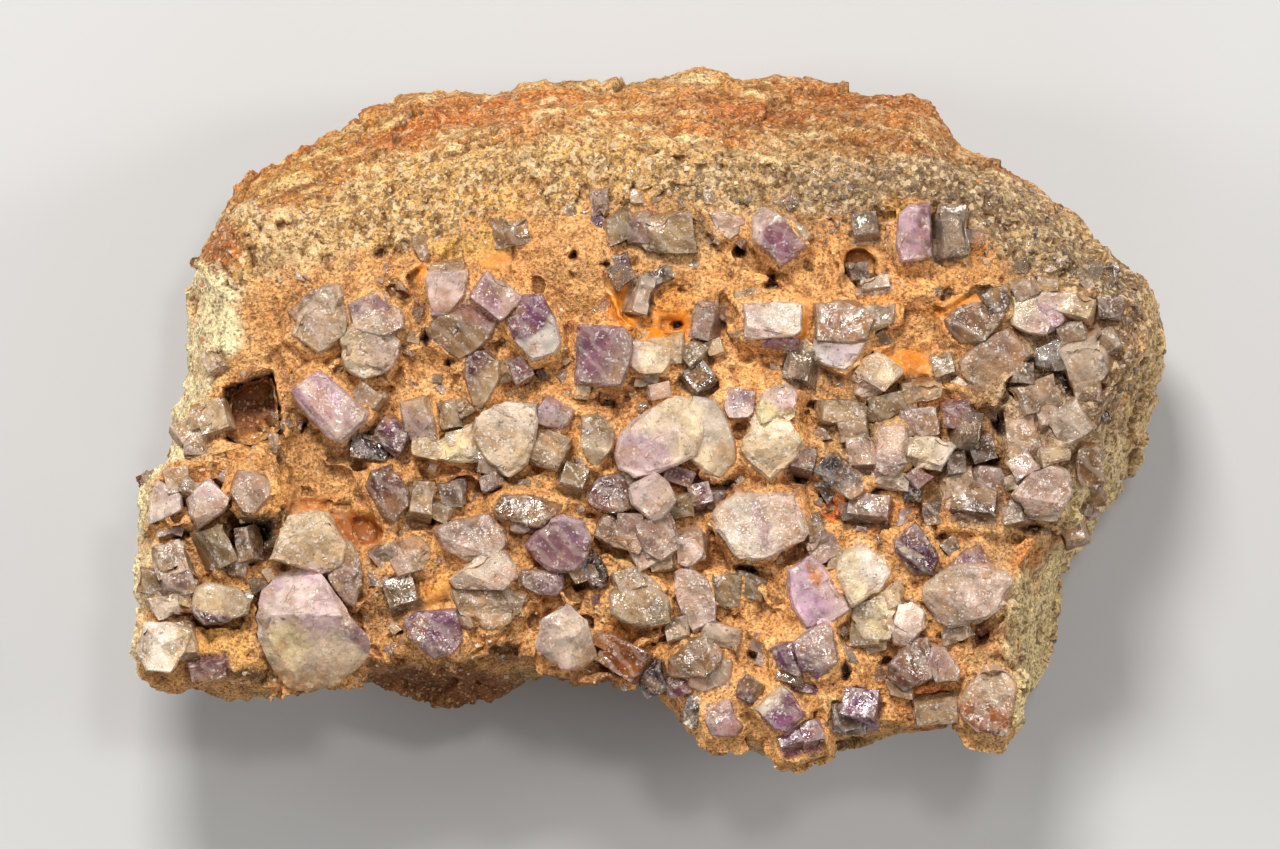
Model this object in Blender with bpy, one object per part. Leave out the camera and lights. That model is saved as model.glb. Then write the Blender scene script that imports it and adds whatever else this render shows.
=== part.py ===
"""Fluorite on matrix: a hand-sized slab of iron-stained rock whose upper face carries fluorite crystals.

The specimen lies on its broken back with the crystal face up. Lengths in this file are millimetres until
the last step, which scales the objects to metres. +X runs along the slab, +Y towards its rusty broken edge
and +Z up. The origin is the centre of the bounding box, on the flat patch that the slab rests on.
"""

import math

import bmesh
import bpy
import numpy as np
from mathutils import Matrix, Vector, noise

MM = 0.001

# Driving dimensions of the slab
FACE_HEIGHT = 36.0  # the crystal face above the resting plane
OUTLINE_ALLOWANCE = 0.8  # what roughening and thinning out take off the outline
BASE_RISE = 2.0  # how far the back curves up at its edge
BASE_CUT = 1.8  # how much of the rough back is ground off flat
FLAT_BAND = 0.25  # points this close above the flat patch are drawn down to it
VOXEL = 1.1  # grain of the slab's mesh before it is thinned out
SLAB_TRIANGLES = 2300  # of the slab before the sockets and moulds are cut
DIRECTIONS = 240  # spokes that the slab's flanks are drawn along

# Driving dimensions of the crystals
ROOT_DEPTH = 3.6  # how far a crystal is rooted below the face
SOCKET_GAP = 0.3  # clearance between a crystal and its socket in the slab
WELD = 0.01  # points closer than this are one

# The slab's outline seen from above, anticlockwise from its right end
OUTLINE = [
    (64.6, 8.0), (63.8, 12.5), (60.5, 17.2), (57.5, 19.2), (55.2, 21.5), (53.8, 24.2), (50.0, 27.4),
    (45.5, 30.2), (39.0, 32.1), (37.3, 36.0), (35.4, 39.8), (32.5, 40.2), (28.0, 39.8), (22.5, 41.0),
    (15.0, 42.5), (10.0, 43.1), (4.0, 42.8), (-3.8, 41.3), (-6.6, 40.5), (-10.0, 41.3), (-16.9, 40.9),
    (-20.5, 39.8), (-27.0, 40.6), (-31.0, 40.1), (-34.0, 37.8), (-40.0, 35.2), (-45.0, 32.9),
    (-51.3, 29.0), (-54.4, 24.8), (-57.0, 21.0), (-58.3, 17.2), (-57.0, 14.0), (-58.0, 10.5),
    (-57.5, 5.8), (-58.8, 1.5), (-59.0, -2.0), (-60.2, -5.5), (-61.6, -7.6), (-62.6, -11.0),
    (-63.9, -17.0), (-63.9, -24.0), (-63.9, -30.5), (-62.6, -35.8), (-57.5, -35.3), (-53.0, -37.2),
    (-48.1, -36.0), (-43.8, -34.2), (-36.9, -34.0), (-32.0, -35.8), (-26.0, -38.0), (-20.3, -37.8),
    (-16.5, -34.4), (-12.0, -33.4), (-8.8, -34.4), (-4.0, -34.2), (2.0, -35.4), (4.4, -37.6),
    (7.0, -40.6), (12.0, -42.6), (15.5, -43.3), (21.0, -42.2), (26.0, -41.2), (31.5, -39.2),
    (38.0, -39.4), (43.0, -40.6), (46.9, -38.9), (49.2, -36.4), (50.2, -30.0), (51.9, -22.0),
    (55.0, -17.5), (57.1, -13.3), (60.4, -8.8), (62.2, -2.3), (64.3, 4.0),
]

# The edge of the crystal face: inside it the face, outside it the flanks that fall to the outline
RIM = [
    (60.6, 8.0), (59.5, 12.0), (53.0, 18.5), (47.5, 23.5), (42.0, 28.5), (34.0, 31.0), (18.0, 31.3),
    (6.0, 32.5), (-6.0, 34.6), (-15.0, 33.0), (-22.0, 30.4), (-30.0, 27.8), (-38.0, 25.8),
    (-51.0, 25.6), (-52.5, 19.0), (-53.0, 14.0), (-54.5, 8.0), (-56.5, 2.0), (-58.4, -5.0),
    (-60.6, -8.0), (-62.6, -17.0), (-62.9, -29.0), (-61.8, -33.0), (-52.0, -33.8), (-44.0, -33.2),
    (-36.0, -31.8), (-26.0, -31.4), (-16.0, -31.4), (-8.0, -32.4), (1.5, -34.0), (6.5, -39.6),
    (13.0, -42.2), (21.0, -41.8), (30.0, -39.2), (38.0, -39.0), (45.4, -39.2), (44.6, -31.0),
    (43.8, -26.0), (46.5, -18.5), (51.5, -11.5), (53.0, -5.0), (57.0, 0.5),
]

# Around the slab: direction in degrees, height of the widest line, fullness of the flank above it, and the
# back's outline as a share of the slab's. A fullness over 1 bulges outwards, and under 1 falls steeply from
# the rim and then runs out flat.
FLANKS = [
    (-150, 27.0, 0.55, 0.68), (-128, 22.0, 0.45, 0.62), (-110, 21.0, 0.5, 0.60), (-96, 24.0, 0.6, 0.62),
    (-80, 20.0, 1.6, 0.68), (-55, 16.0, 1.6, 0.74), (-30, 13.0, 1.15, 0.82), (0, 14.0, 1.5, 0.80),
    (28, 17.0, 1.9, 0.76), (52, 15.0, 1.3, 0.84), (90, 12.0, 1.15, 0.88), (130, 13.0, 1.1, 0.82),
    (152, 16.0, 1.3, 0.74), (170, 20.0, 2.2, 0.72), (190, 24.0, 2.4, 0.70),
]

# Broad rises (+) and hollows (-) of the crystal face: x, y, radius, height
SWELLS = [
    (-9.5, 19.0, 6.5, 3.0), (-50.0, -8.0, 6.0, 1.2), (-52.5, -30.0, 4.5, 1.6), (16.0, 17.0, 6.0, 1.2),
    (38.0, 16.5, 5.0, 1.4), (-41.0, 20.0, 9.0, 1.4), (-27.0, 23.0, 8.0, 1.0), (20.0, -34.0, 9.0, 1.5),
    (48.0, 6.0, 9.0, -2.2), (42.0, -5.0, 6.0, -1.8), (-34.0, 2.0, 7.0, -1.2), (-16.0, 4.0, 6.0, -1.4),
    (-24.0, -9.0, 6.0, -1.6), (6.0, -20.0, 7.0, -1.2), (-58.0, -20.0, 5.0, -1.5), (30.0, 2.0, 6.0, -1.2),
    (-34.0, -30.0, 6.0, -1.4), (-16.0, -27.0, 6.0, -1.2), (42.0, -36.0, 6.0, -2.0), (2.0, 21.0, 6.0, -1.0),
]

# Thin walls of ochre crust that stand proud between crystals: start, end, width, height
WALLS = [
    ((-47.2, -6.0), (-45.2, -14.0), 1.1, 1.8), ((-57.6, -13.6), (-53.6, -20.6), 1.2, 1.6),
    ((-59.0, -6.6), (-45.8, -3.2), 1.5, 1.5), ((-33.2, -19.5), (-36.0, -24.5), 1.5, 1.6),
    ((-25.2, -21.6), (-30.0, -25.2), 1.4, 1.5), ((-14.8, -24.2), (-20.0, -28.6), 1.4, 1.6),
    ((29.0, -17.0), (35.4, -29.0), 1.3, 1.4), ((42.4, 1.2), (47.6, 6.6), 1.1, 1.5),
    ((35.6, 4.8), (41.0, 1.0), 1.1, 1.3), ((-46.8, 5.2), (-45.2, -3.2), 0.9, 1.4),
    ((-19.0, 9.6), (-22.6, 6.4), 1.2, 1.4), ((3.2, 5.0), (9.2, 4.2), 1.3, 1.2),
    ((8.4, -13.2), (6.4, -18.0), 1.2, 1.2), ((24.2, 13.6), (34.6, 14.6), 1.6, 1.3),
    ((-28.4, 15.0), (-29.6, 8.0), 1.5, 1.4), ((45.0, -24.0), (43.0, -31.0), 1.5, 1.2),
]

# Hollows with flat walls, most of them moulds of lost crystals: outline, depth
MOULDS = [
    ([(-53.4, 2.8), (-47.0, 5.0), (-45.6, -3.0), (-50.0, -4.8), (-53.4, -3.6)], 5.0),
    ([(-39.8, -13.0), (-35.4, -13.0), (-33.4, -14.2), (-33.6, -17.0), (-37.2, -17.0)], 3.6),
    ([(-56.0, -16.2), (-52.2, -13.6), (-48.4, -13.4), (-46.6, -16.2), (-49.6, -20.0), (-53.0, -21.2)], 4.2),
    ([(-45.0, -10.8), (-41.0, -11.0), (-40.2, -12.6), (-44.8, -12.6)], 2.0),
    ([(-5.0, 16.0), (-2.6, 15.6), (-1.2, 11.0), (-4.2, 10.2)], 2.2),
    ([(0.4, 12.4), (5.0, 12.0), (5.2, 9.2), (3.4, 7.8), (0.4, 8.4)], 1.8),
    ([(29.2, 7.6), (34.8, 7.2), (35.0, 4.4), (31.8, 4.8)], 2.6),
    ([(36.8, 13.8), (42.6, 15.0), (42.6, 13.2), (37.2, 12.4)], 2.2),
    ([(7.0, -19.0), (11.0, -18.8), (14.6, -20.3), (14.0, -21.1), (10.0, -20.6), (7.4, -20.0)], 5.0),
    ([(40.2, -27.0), (42.9, -26.8), (43.0, -29.6), (40.5, -29.8)], 2.8),
    ([(31.0, -35.2), (37.6, -34.4), (38.0, -36.6), (33.5, -38.0)], 3.0),
    ([(10.2, 20.8), (11.4, 21.4), (12.5, 20.6), (12.4, 19.0), (11.0, 18.5), (10.2, 19.4)], 3.6),
    ([(-10.2, 20.0), (-9.3, 20.4), (-8.9, 19.2), (-9.8, 18.7)], 2.6),
    ([(-7.1, 24.3), (-5.4, 24.4), (-5.6, 22.3), (-6.9, 22.5)], 2.8),
    ([(23.8, 20.2), (26.4, 20.8), (29.3, 19.4), (28.8, 15.8), (25.5, 14.9), (23.6, 17.0)], 2.4),
    ([(42.7, -0.9), (44.2, -0.2), (45.0, -1.6), (44.2, -4.2), (42.8, -3.8)], 4.5),
    ([(46.4, -14.2), (50.2, -14.2), (49.6, -15.8), (46.6, -15.8)], 3.0),
    ([(-6.8, -28.2), (-4.4, -28.0), (-1.0, -30.4), (-1.4, -33.0), (-4.0, -33.0)], 2.6),
    ([(-20.6, -29.4), (-16.8, -28.9), (-15.4, -30.2), (-17.2, -31.8), (-20.8, -31.4)], 3.0),
    ([(-33.2, -30.6), (-28.8, -30.0), (-29.0, -31.8), (-32.6, -32.4)], 4.0),
    ([(-7.0, 2.6), (-1.6, 2.4), (-2.2, 0.9), (-6.4, 0.6)], 2.2),
    ([(17.4, -7.8), (20.0, -8.0), (19.6, -9.6), (18.0, -9.8)], 3.0),
    ([(23.8, -31.2), (25.6, -32.2), (24.8, -34.6), (23.8, -34.2)], 2.0),
]

# Fresh breaks that trim the back of the slab: compass direction, degrees below the horizon, and distance
# from the centre of the slab's middle height
BREAKS = [
    (8, 38, 57.0), (42, 30, 54.0), (75, 46, 40.0), (112, 34, 43.0), (140, 42, 48.0), (172, 36, 53.0),
    (200, 48, 50.0), (228, 32, 55.0), (262, 44, 35.0), (290, 36, 41.0), (318, 46, 48.0), (345, 34, 56.0),
]


class Block:
    """One crystal: a cube or brick with slightly drawn-in walls, turned, leaning, and perhaps chipped.

    lean is how far its top face leans from level, and toward the direction it then looks in. proud is the
    height of the top face's middle over the crystal face. A chip is (side x, side y, depth) of a corner.
    """

    def __init__(self, x, y, wide, deep, yaw=0, lean=14, toward=90, proud=2.6, taper=0.08, chips=()):
        self.x, self.y = x, y
        self.wide, self.deep = wide, deep
        self.yaw, self.lean, self.toward = yaw, lean, toward
        self.proud, self.taper, self.chips = proud, taper, chips


# Every crystal, or group grown together, with its tint. A later one gives way where it meets an earlier one.
CRYSTALS = {
    "fluorite_great_lilac": ("lilac", [
        Block(-42.3, -26.4, 11.6, 13.2, 9, 16, 70, 6.2, 0.10, ((-1, -1, 3.2), (1, 1, 1.6))),
        Block(-41.2, -31.6, 9.4, 6.4, 12, 30, 262, 3.4, 0.10),
    ]),
    "fluorite_pale_behind_great": ("pale", [
        Block(-42.6, -16.2, 8.6, 6.4, -4, 16, 250, 4.4, 0.08, ((-1, 1, 1.2),)),
        Block(-37.4, -19.6, 4.6, 8.8, 28, 24, 20, 2.6),
    ]),
    "fluorite_lilac_brick": ("lilac", [
        Block(-40.2, 1.3, 8.8, 5.0, -38, 20, 60, 4.2, 0.05),
        Block(-35.3, 1.0, 4.6, 3.8, -38, 12, 20, 3.0),
        Block(-34.3, -3.2, 5.6, 4.8, -20, 24, 250, 1.6),
    ]),
    "fluorite_lilac_cluster_left": ("pale", [
        Block(-36.8, 11.2, 5.0, 5.4, 24, 16, 130, 3.6, 0.1, ((1, 1, 1.0),)),
        Block(-34.8, 6.8, 5.8, 5.4, -14, 18, 30, 3.0),
        Block(-41.9, 11.2, 7.4, 4.2, 52, 22, 140, 2.4),
        Block(-38.6, 7.0, 3.4, 4.4, 10, 12, 200, 2.0),
    ]),
    "fluorite_lilac_triple": ("lilac", [
        Block(-25.3, 14.9, 4.9, 5.2, 15, 14, 100, 3.2),
        Block(-19.3, 14.4, 5.8, 4.4, -32, 16, 60, 3.8, 0.06),
        Block(-23.6, 10.6, 6.6, 6.0, 8, 20, 280, 1.8, 0.1, ((0, 1, 0.8),)),
    ]),
    "fluorite_purple_capped": ("purple", [
        Block(-14.4, 10.4, 4.8, 6.4, -28, 24, 120, 4.2, 0.06, ((1, -1, 1.4),)),
    ]),
    "fluorite_banded_brick": ("purple", [
        Block(-6.6, 7.0, 6.8, 7.2, -4, 12, 96, 3.8, 0.05),
        Block(-0.2, 7.0, 6.2, 4.8, -8, 14, 70, 2.6, 0.1, ((1, 1, 1.0),)),
    ]),
    "fluorite_pale_top": ("pale", [
        Block(9.4, 23.3, 3.8, 3.4, 14, 16, 120, 2.4),
    ]),
    "fluorite_purple_brick_top": ("purple", [
        Block(16.0, 21.4, 5.4, 5.2, -38, 26, 66, 4.0, 0.04),
    ]),
    "fluorite_lilac_upright_top": ("lilac", [
        Block(33.1, 21.9, 4.4, 6.8, -6, 16, 160, 4.4, 0.05),
    ]),
    "fluorite_silver_brick": ("pale", [
        Block(15.0, 11.0, 6.8, 5.4, 6, 20, 70, 4.0, 0.05),
    ]),
    "fluorite_pale_pair": ("pale", [
        Block(24.9, 10.8, 8.0, 5.6, 12, 16, 50, 3.6, 0.08, ((-1, 1, 1.0),)),
        Block(23.2, 6.9, 5.8, 3.8, 4, 22, 250, 2.4),
    ]),
    "fluorite_cream_triangle": ("cream", [
        Block(28.6, 4.5, 4.8, 4.8, 44, 20, 80, 3.4, 0.08, ((-1, -1, 0.8),)),
    ]),
    "fluorite_grey_lilac_pair": ("grey", [
        Block(40.4, 10.7, 6.6, 4.6, -8, 18, 80, 2.8),
        Block(43.4, 13.6, 2.6, 2.4, 20, 14, 60, 2.6),
    ]),
    "fluorite_grey_lozenge": ("grey", [
        Block(49.6, 12.5, 8.4, 5.8, -12, 16, 100, 2.8, 0.12, ((-1, 1, 1.6), (1, -1, 1.4))),
    ]),
    "fluorite_grey_rhomb": ("grey", [
        Block(42.6, 5.7, 5.8, 5.6, 42, 18, 110, 2.6, 0.06),
    ]),
    "fluorite_clear_pair_right": ("clear", [
        Block(49.7, 6.7, 3.4, 3.8, 10, 16, 100, 2.4),
        Block(53.6, 5.4, 4.0, 5.2, -10, 20, 40, 2.0, 0.12),
    ]),
    "fluorite_grey_slab": ("grey", [
        Block(-29.3, -1.4, 3.8, 6.2, 15, 16, 170, 2.6),
    ]),
    "fluorite_purple_grey_knot": ("purple", [
        Block(-20.6, 4.2, 4.8, 6.4, 12, 18, 130, 2.6, 0.1, ((1, 1, 1.0),)),
        Block(-16.4, 3.3, 3.2, 2.6, -20, 20, 60, 1.8),
    ]),
    "fluorite_blue_cube": ("purple", [
        Block(-12.0, -0.3, 3.9, 3.9, -20, 12, 80, 2.8, 0.05),
    ]),
    "fluorite_cream_mass": ("cream", [
        Block(-17.9, -3.6, 7.0, 8.8, 18, 14, 80, 3.2, 0.12, ((1, 1, 1.8), (-1, -1, 1.4))),
        Block(-23.8, -4.7, 6.0, 4.2, -14, 22, 160, 2.0, 0.12),
        Block(-14.0, -4.6, 3.8, 5.4, -16, 22, 330, 1.8),
    ]),
    "fluorite_olive_wedge": ("grey", [
        Block(-6.6, -3.2, 4.6, 5.8, -8, 18, 90, 2.8, 0.14, ((-1, -1, 1.4),)),
    ]),
    "fluorite_great_rounded": ("lilac", [
        Block(0.4, -3.6, 8.6, 7.4, 14, 18, 120, 3.6, 0.12, ((-1, -1, 2.0), (-1, 1, 1.4))),
        Block(5.2, -2.6, 7.0, 8.6, -6, 10, 90, 4.4, 0.14, ((1, 1, 1.4), (-1, 1, 1.0))),
        Block(9.0, -4.0, 4.4, 7.6, -14, 24, 350, 3.2, 0.12),
    ]),
    "fluorite_lilac_cube_small": ("lilac", [
        Block(11.3, 1.0, 3.7, 3.7, -8, 14, 100, 3.0, 0.05),
    ]),
    "fluorite_cream_diamond": ("cream", [
        Block(15.6, -4.6, 6.0, 6.0, 42, 22, 110, 3.2, 0.06, ((1, 1, 0.8),)),
        Block(16.5, 1.0, 3.4, 5.2, 10, 22, 150, 3.4, 0.06),
    ]),
    "fluorite_black_glitter": ("smoky", [
        Block(23.9, -8.3, 5.6, 4.4, -42, 20, 80, 3.0, 0.08),
    ]),
    "fluorite_grey_row": ("grey", [
        Block(31.6, -4.4, 4.6, 7.6, -4, 14, 120, 3.2, 0.08),
        Block(35.4, -4.6, 4.4, 5.0, 10, 18, 60, 2.6),
        Block(34.8, -1.0, 4.4, 2.8, -6, 20, 90, 2.2),
    ]),
    "fluorite_grey_quartz_right": ("grey", [
        Block(46.4, -3.0, 4.6, 7.4, 8, 14, 150, 2.0, 0.14, ((1, -1, 1.2),)),
        Block(49.8, 0.4, 4.0, 4.2, 24, 20, 70, 2.0, 0.14),
    ]),
    "fluorite_pink_grey_right": ("pale", [
        Block(48.7, -10.4, 7.0, 6.4, 16, 18, 80, 3.2, 0.1, ((-1, -1, 1.4), (1, -1, 1.2))),
    ]),
    "fluorite_smoky_grey": ("smoky", [
        Block(40.4, -11.0, 6.2, 4.0, -8, 18, 100, 2.4, 0.12),
    ]),
    "fluorite_pink_cube_left": ("lilac", [
        Block(-55.0, -11.6, 5.2, 4.6, 38, 14, 110, 3.4, 0.06),
        Block(-60.0, -11.4, 4.0, 5.6, 4, 20, 170, 1.8, 0.1),
    ]),
    "fluorite_sparkly_hex": ("grey", [
        Block(-49.8, -10.0, 4.6, 4.8, 8, 16, 80, 3.6, 0.1, ((1, 1, 0.9), (-1, -1, 0.9))),
    ]),
    "fluorite_white_lumps_left": ("cream", [
        Block(-60.0, -18.6, 4.8, 4.8, 20, 16, 120, 2.6, 0.14, ((-1, 1, 1.2),)),
        Block(-58.6, -22.4, 4.4, 4.6, -14, 18, 40, 2.2, 0.14),
        Block(-61.4, -23.6, 3.6, 4.0, 8, 22, 200, 1.4, 0.14),
    ]),
    "fluorite_yellow_block": ("cream", [
        Block(-53.8, -23.6, 5.8, 4.6, -6, 20, 90, 3.4, 0.1, ((-1, 1, 1.0),)),
    ]),
    "fluorite_cream_block_left": ("pale", [
        Block(-60.4, -29.8, 5.2, 6.4, 6, 16, 130, 2.8, 0.12, ((-1, -1, 1.6), (1, 1, 1.0))),
    ]),
    "fluorite_mauve_cube": ("purple", [
        Block(-33.0, -10.5, 4.4, 6.2, 12, 16, 150, 3.2, 0.06),
    ]),
    "fluorite_grey_bar": ("grey", [
        Block(-15.0, -12.3, 8.0, 3.8, -8, 22, 90, 2.8, 0.06),
    ]),
    "fluorite_pink_white_cube": ("pale", [
        Block(0.2, -10.6, 4.6, 4.4, 32, 16, 110, 3.8, 0.05),
    ]),
    "fluorite_dusty_purple": ("purple", [
        Block(-5.0, -10.6, 4.8, 4.4, -12, 18, 80, 2.6, 0.08),
    ]),
    "fluorite_mauve_rounded": ("purple", [
        Block(-11.4, -16.7, 6.6, 5.8, 16, 16, 100, 3.6, 0.14, ((-1, 1, 1.4), (1, -1, 1.0))),
        Block(-13.2, -21.2, 5.6, 3.4, -6, 20, 70, 2.4),
        Block(-6.9, -20.0, 2.8, 4.4, 8, 24, 0, 1.8),
    ]),
    "fluorite_cream_shard": ("cream", [
        Block(-20.3, -20.1, 6.4, 3.6, 14, 22, 110, 3.2, 0.08, ((-1, 1, 1.2),)),
        Block(-19.6, -24.2, 7.6, 4.4, 6, 24, 260, 1.8, 0.1, ((-1, -1, 1.6),)),
    ]),
    "fluorite_grey_pink_bar": ("grey", [
        Block(-22.5, -15.8, 8.0, 4.0, -4, 18, 90, 2.6, 0.08, ((-1, 1, 1.0),)),
        Block(-30.0, -17.2, 4.6, 4.2, 16, 16, 120, 2.2, 0.1),
    ]),
    "fluorite_mauve_row": ("pale", [
        Block(-3.4, -15.2, 6.8, 4.2, -6, 16, 100, 2.6, 0.1),
        Block(4.4, -17.2, 4.0, 3.8, 12, 18, 60, 2.4, 0.08),
        Block(1.0, -16.6, 3.2, 4.4, 0, 12, 90, 2.0),
    ]),
    "fluorite_olive_block": ("grey", [
        Block(-1.4, -24.4, 6.8, 7.4, 10, 18, 100, 3.0, 0.12, ((-1, -1, 1.4), (1, 1, 1.0))),
    ]),
    "fluorite_pink_grey_rounded": ("pale", [
        Block(5.9, -23.4, 4.2, 6.8, 4, 16, 130, 2.8, 0.1, ((1, 1, 1.0),)),
        Block(9.4, -22.4, 3.8, 4.2, -14, 20, 40, 2.0, 0.1),
    ]),
    "fluorite_big_white": ("pale", [
        Block(14.0, -13.9, 10.2, 7.0, 6, 14, 84, 4.2, 0.06, ((1, 1, 1.0),)),
    ]),
    "fluorite_lilac_leaf": ("lilac", [
        Block(20.8, -22.3, 4.6, 7.6, -6, 20, 160, 3.8, 0.06, ((1, -1, 0.9),)),
    ]),
    "fluorite_cream_white_mass": ("cream", [
        Block(25.9, -19.9, 7.2, 7.4, 22, 16, 80, 3.8, 0.14, ((-1, -1, 1.6), (1, 1, 1.4))),
        Block(27.6, -25.9, 4.6, 5.8, -12, 20, 100, 2.6, 0.12),
        Block(31.6, -26.2, 4.4, 5.2, 14, 18, 60, 3.2, 0.1),
    ]),
    "fluorite_deep_purple": ("purple", [
        Block(33.2, -17.4, 4.4, 5.0, 34, 20, 90, 3.4, 0.06),
    ]),
    "fluorite_big_grey_pink": ("grey", [
        Block(39.6, -23.1, 9.6, 6.2, 20, 16, 100, 3.8, 0.08, ((1, 1, 1.4), (-1, -1, 1.2))),
        Block(39.6, -18.6, 5.4, 3.0, 12, 20, 90, 3.0, 0.06),
    ]),
    "fluorite_purple_translucent": ("purple", [
        Block(21.0, -30.2, 4.6, 5.2, 22, 20, 100, 3.8, 0.05),
        Block(17.4, -30.8, 3.2, 4.0, -10, 18, 180, 1.8),
    ]),
    "fluorite_purple_white_face": ("purple", [
        Block(16.0, -36.8, 5.0, 3.8, 45, 20, 110, 3.0, 0.05),
        Block(12.3, -34.6, 3.4, 3.8, -16, 20, 150, 2.2),
    ]),
    "fluorite_lilac_cube_bottom": ("lilac", [
        Block(9.1, -38.0, 4.2, 3.8, 12, 22, 120, 2.0, 0.06),
    ]),
    "fluorite_pair_bottom": ("purple", [
        Block(17.4, -40.4, 3.2, 3.0, 15, 20, 100, 1.6, 0.06),
        Block(20.2, -40.0, 3.0, 3.0, 15, 20, 80, 1.7, 0.06),
    ]),
    "fluorite_purple_rose": ("purple", [
        Block(-26.9, -27.7, 5.6, 4.6, -18, 20, 100, 2.8, 0.1, ((-1, 1, 0.9), (1, -1, 0.9))),
    ]),
    "fluorite_white_point": ("pale", [
        Block(-11.3, -28.0, 5.8, 7.4, -12, 15, 110, 4.6, 0.12, ((1, 1, 1.2), (1, -1, 2.0))),
    ]),
    "fluorite_grey_beige_mass": ("grey", [
        Block(5.6, -30.2, 5.4, 5.0, 20, 18, 110, 3.0, 0.14),
        Block(9.0, -31.6, 4.0, 4.8, -12, 20, 40, 2.4, 0.12),
        Block(6.8, -33.4, 4.6, 4.4, 6, 22, 270, 1.8),
    ]),
    "fluorite_mauve_brown": ("purple", [
        Block(32.2, -31.7, 6.2, 5.8, 18, 18, 120, 3.0, 0.1, ((-1, -1, 1.2),)),
        Block(36.5, -31.6, 3.8, 4.2, -14, 20, 60, 2.6),
    ]),
    "fluorite_sparkly_knob": ("grey", [
        Block(42.0, -35.9, 5.6, 6.6, -10, 8, 90, 2.4, 0.2, ((-1, 1, 1.6), (1, 1, 1.6), (1, -1, 1.6))),
    ]),
}

# Small crystals and chips that are fused to the slab
CHIPS = [
    Block(38.2, 22.0, 3.4, 5.6, 6, 20, 20, 2.8, 0.14), Block(19.2, -5.9, 3.0, 2.8, -10, 14, 60, 2.0),
    Block(18.5, 5.8, 3.4, 4.2, -12, 18, 140, 2.0), Block(-28.4, -10.8, 2.8, 4.2, -6, 18, 60, 2.2),
    Block(26.3, -5.1, 3.6, 3.8, 4, 12, 90, 2.2), Block(40.2, -2.4, 2.7, 4.4, -6, 20, 20, 2.6),
    Block(26.2, -36.4, 4.4, 3.8, -8, 20, 100, 2.0, 0.1), Block(-53.4, -17.0, 2.6, 5.0, 26, 26, 0, 2.6),
    Block(-50.9, -16.8, 2.0, 4.4, 14, 20, 180, 1.8), Block(-0.6, 14.4, 1.8, 4.8, -14, 16, 0, 2.2),
    Block(26.9, 23.3, 3.0, 2.8, 10, 14, 90, 1.8), Block(28.0, 16.0, 3.8, 1.5, 8, 12, 90, 1.6),
    Block(6.5, 11.0, 2.6, 4.6, -14, 20, 180, 1.8, 0.16), Block(-54.8, -0.8, 3.8, 3.8, 20, 12, 140, 1.4, 0.16),
    Block(-54.8, 6.2, 2.2, 2.4, 30, 14, 150, 1.4, 0.14), Block(-57.0, -4.6, 2.6, 2.4, 10, 16, 170, 1.0, 0.14),
    Block(6.1, 4.5, 3.2, 3.4, 40, 22, 90, 1.6, 0.14), Block(6.3, -10.4, 2.8, 2.6, 14, 14, 90, 2.0, 0.1),
    Block(-9.4, -8.1, 3.0, 2.8, -20, 18, 60, 1.8, 0.12), Block(-55.2, -32.8, 4.8, 2.6, 8, 20, 270, 1.0, 0.1),
    Block(-31.2, -22.4, 3.8, 3.8, 16, 18, 110, 1.6, 0.12), Block(27.3, -11.7, 5.2, 3.0, -8, 18, 90, 1.8, 0.1),
    Block(20.8, -15.2, 2.0, 2.4, 10, 14, 60, 1.8, 0.1), Block(0.2, -34.2, 3.2, 3.4, 20, 26, 250, 0.6, 0.1),
    Block(35.8, -38.0, 5.4, 2.8, 6, 22, 270, 0.6, 0.1), Block(25.0, -39.2, 4.4, 3.0, -6, 24, 270, 0.4, 0.1),
    Block(38.2, -6.4, 2.4, 3.0, 8, 16, 60, 1.6, 0.1), Block(36.5, 5.8, 2.6, 2.6, 14, 16, 120, 1.4, 0.1),
]

# Tint of each kind: colour, roughness
TINTS = {
    "lilac": ((0.56, 0.43, 0.62), 0.22),
    "purple": ((0.30, 0.19, 0.40), 0.20),
    "pale": ((0.70, 0.60, 0.62), 0.22),
    "cream": ((0.76, 0.68, 0.54), 0.26),
    "clear": ((0.66, 0.64, 0.62), 0.12),
    "grey": ((0.48, 0.43, 0.42), 0.24),
    "smoky": ((0.22, 0.20, 0.21), 0.20),
}
SLAB_COLOUR = (0.50, 0.27, 0.12)


def clear_scene():
    for thing in list(bpy.data.objects):
        bpy.data.objects.remove(thing, do_unlink=True)


def material(name, colour, roughness):
    made = bpy.data.materials.new(name)
    made.use_nodes = True
    shader = made.node_tree.nodes["Principled BSDF"]
    shader.inputs["Base Color"].default_value = (*colour, 1.0)
    shader.inputs["Roughness"].default_value = roughness
    shader.inputs["Metallic"].default_value = 0.0
    return made


def new_object(name, mesh):
    made = bpy.data.objects.new(name, mesh)
    bpy.context.scene.collection.objects.link(made)
    return made


def apply_modifiers(thing):
    """Bake an object's modifiers into its mesh."""
    graph = bpy.context.evaluated_depsgraph_get()
    baked = bpy.data.meshes.new_from_object(thing.evaluated_get(graph))
    thing.modifiers.clear()
    thing.data = baked


def combine(thing, other, operation):
    """Join another solid to this one, or cut it away, and drop the other."""
    modifier = thing.modifiers.new(operation.lower(), "BOOLEAN")
    modifier.operation = operation
    modifier.object = other
    modifier.solver = "EXACT"
    apply_modifiers(thing)
    bpy.data.objects.remove(other, do_unlink=True)


# ---------------------------------------------------------------- the slab

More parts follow.
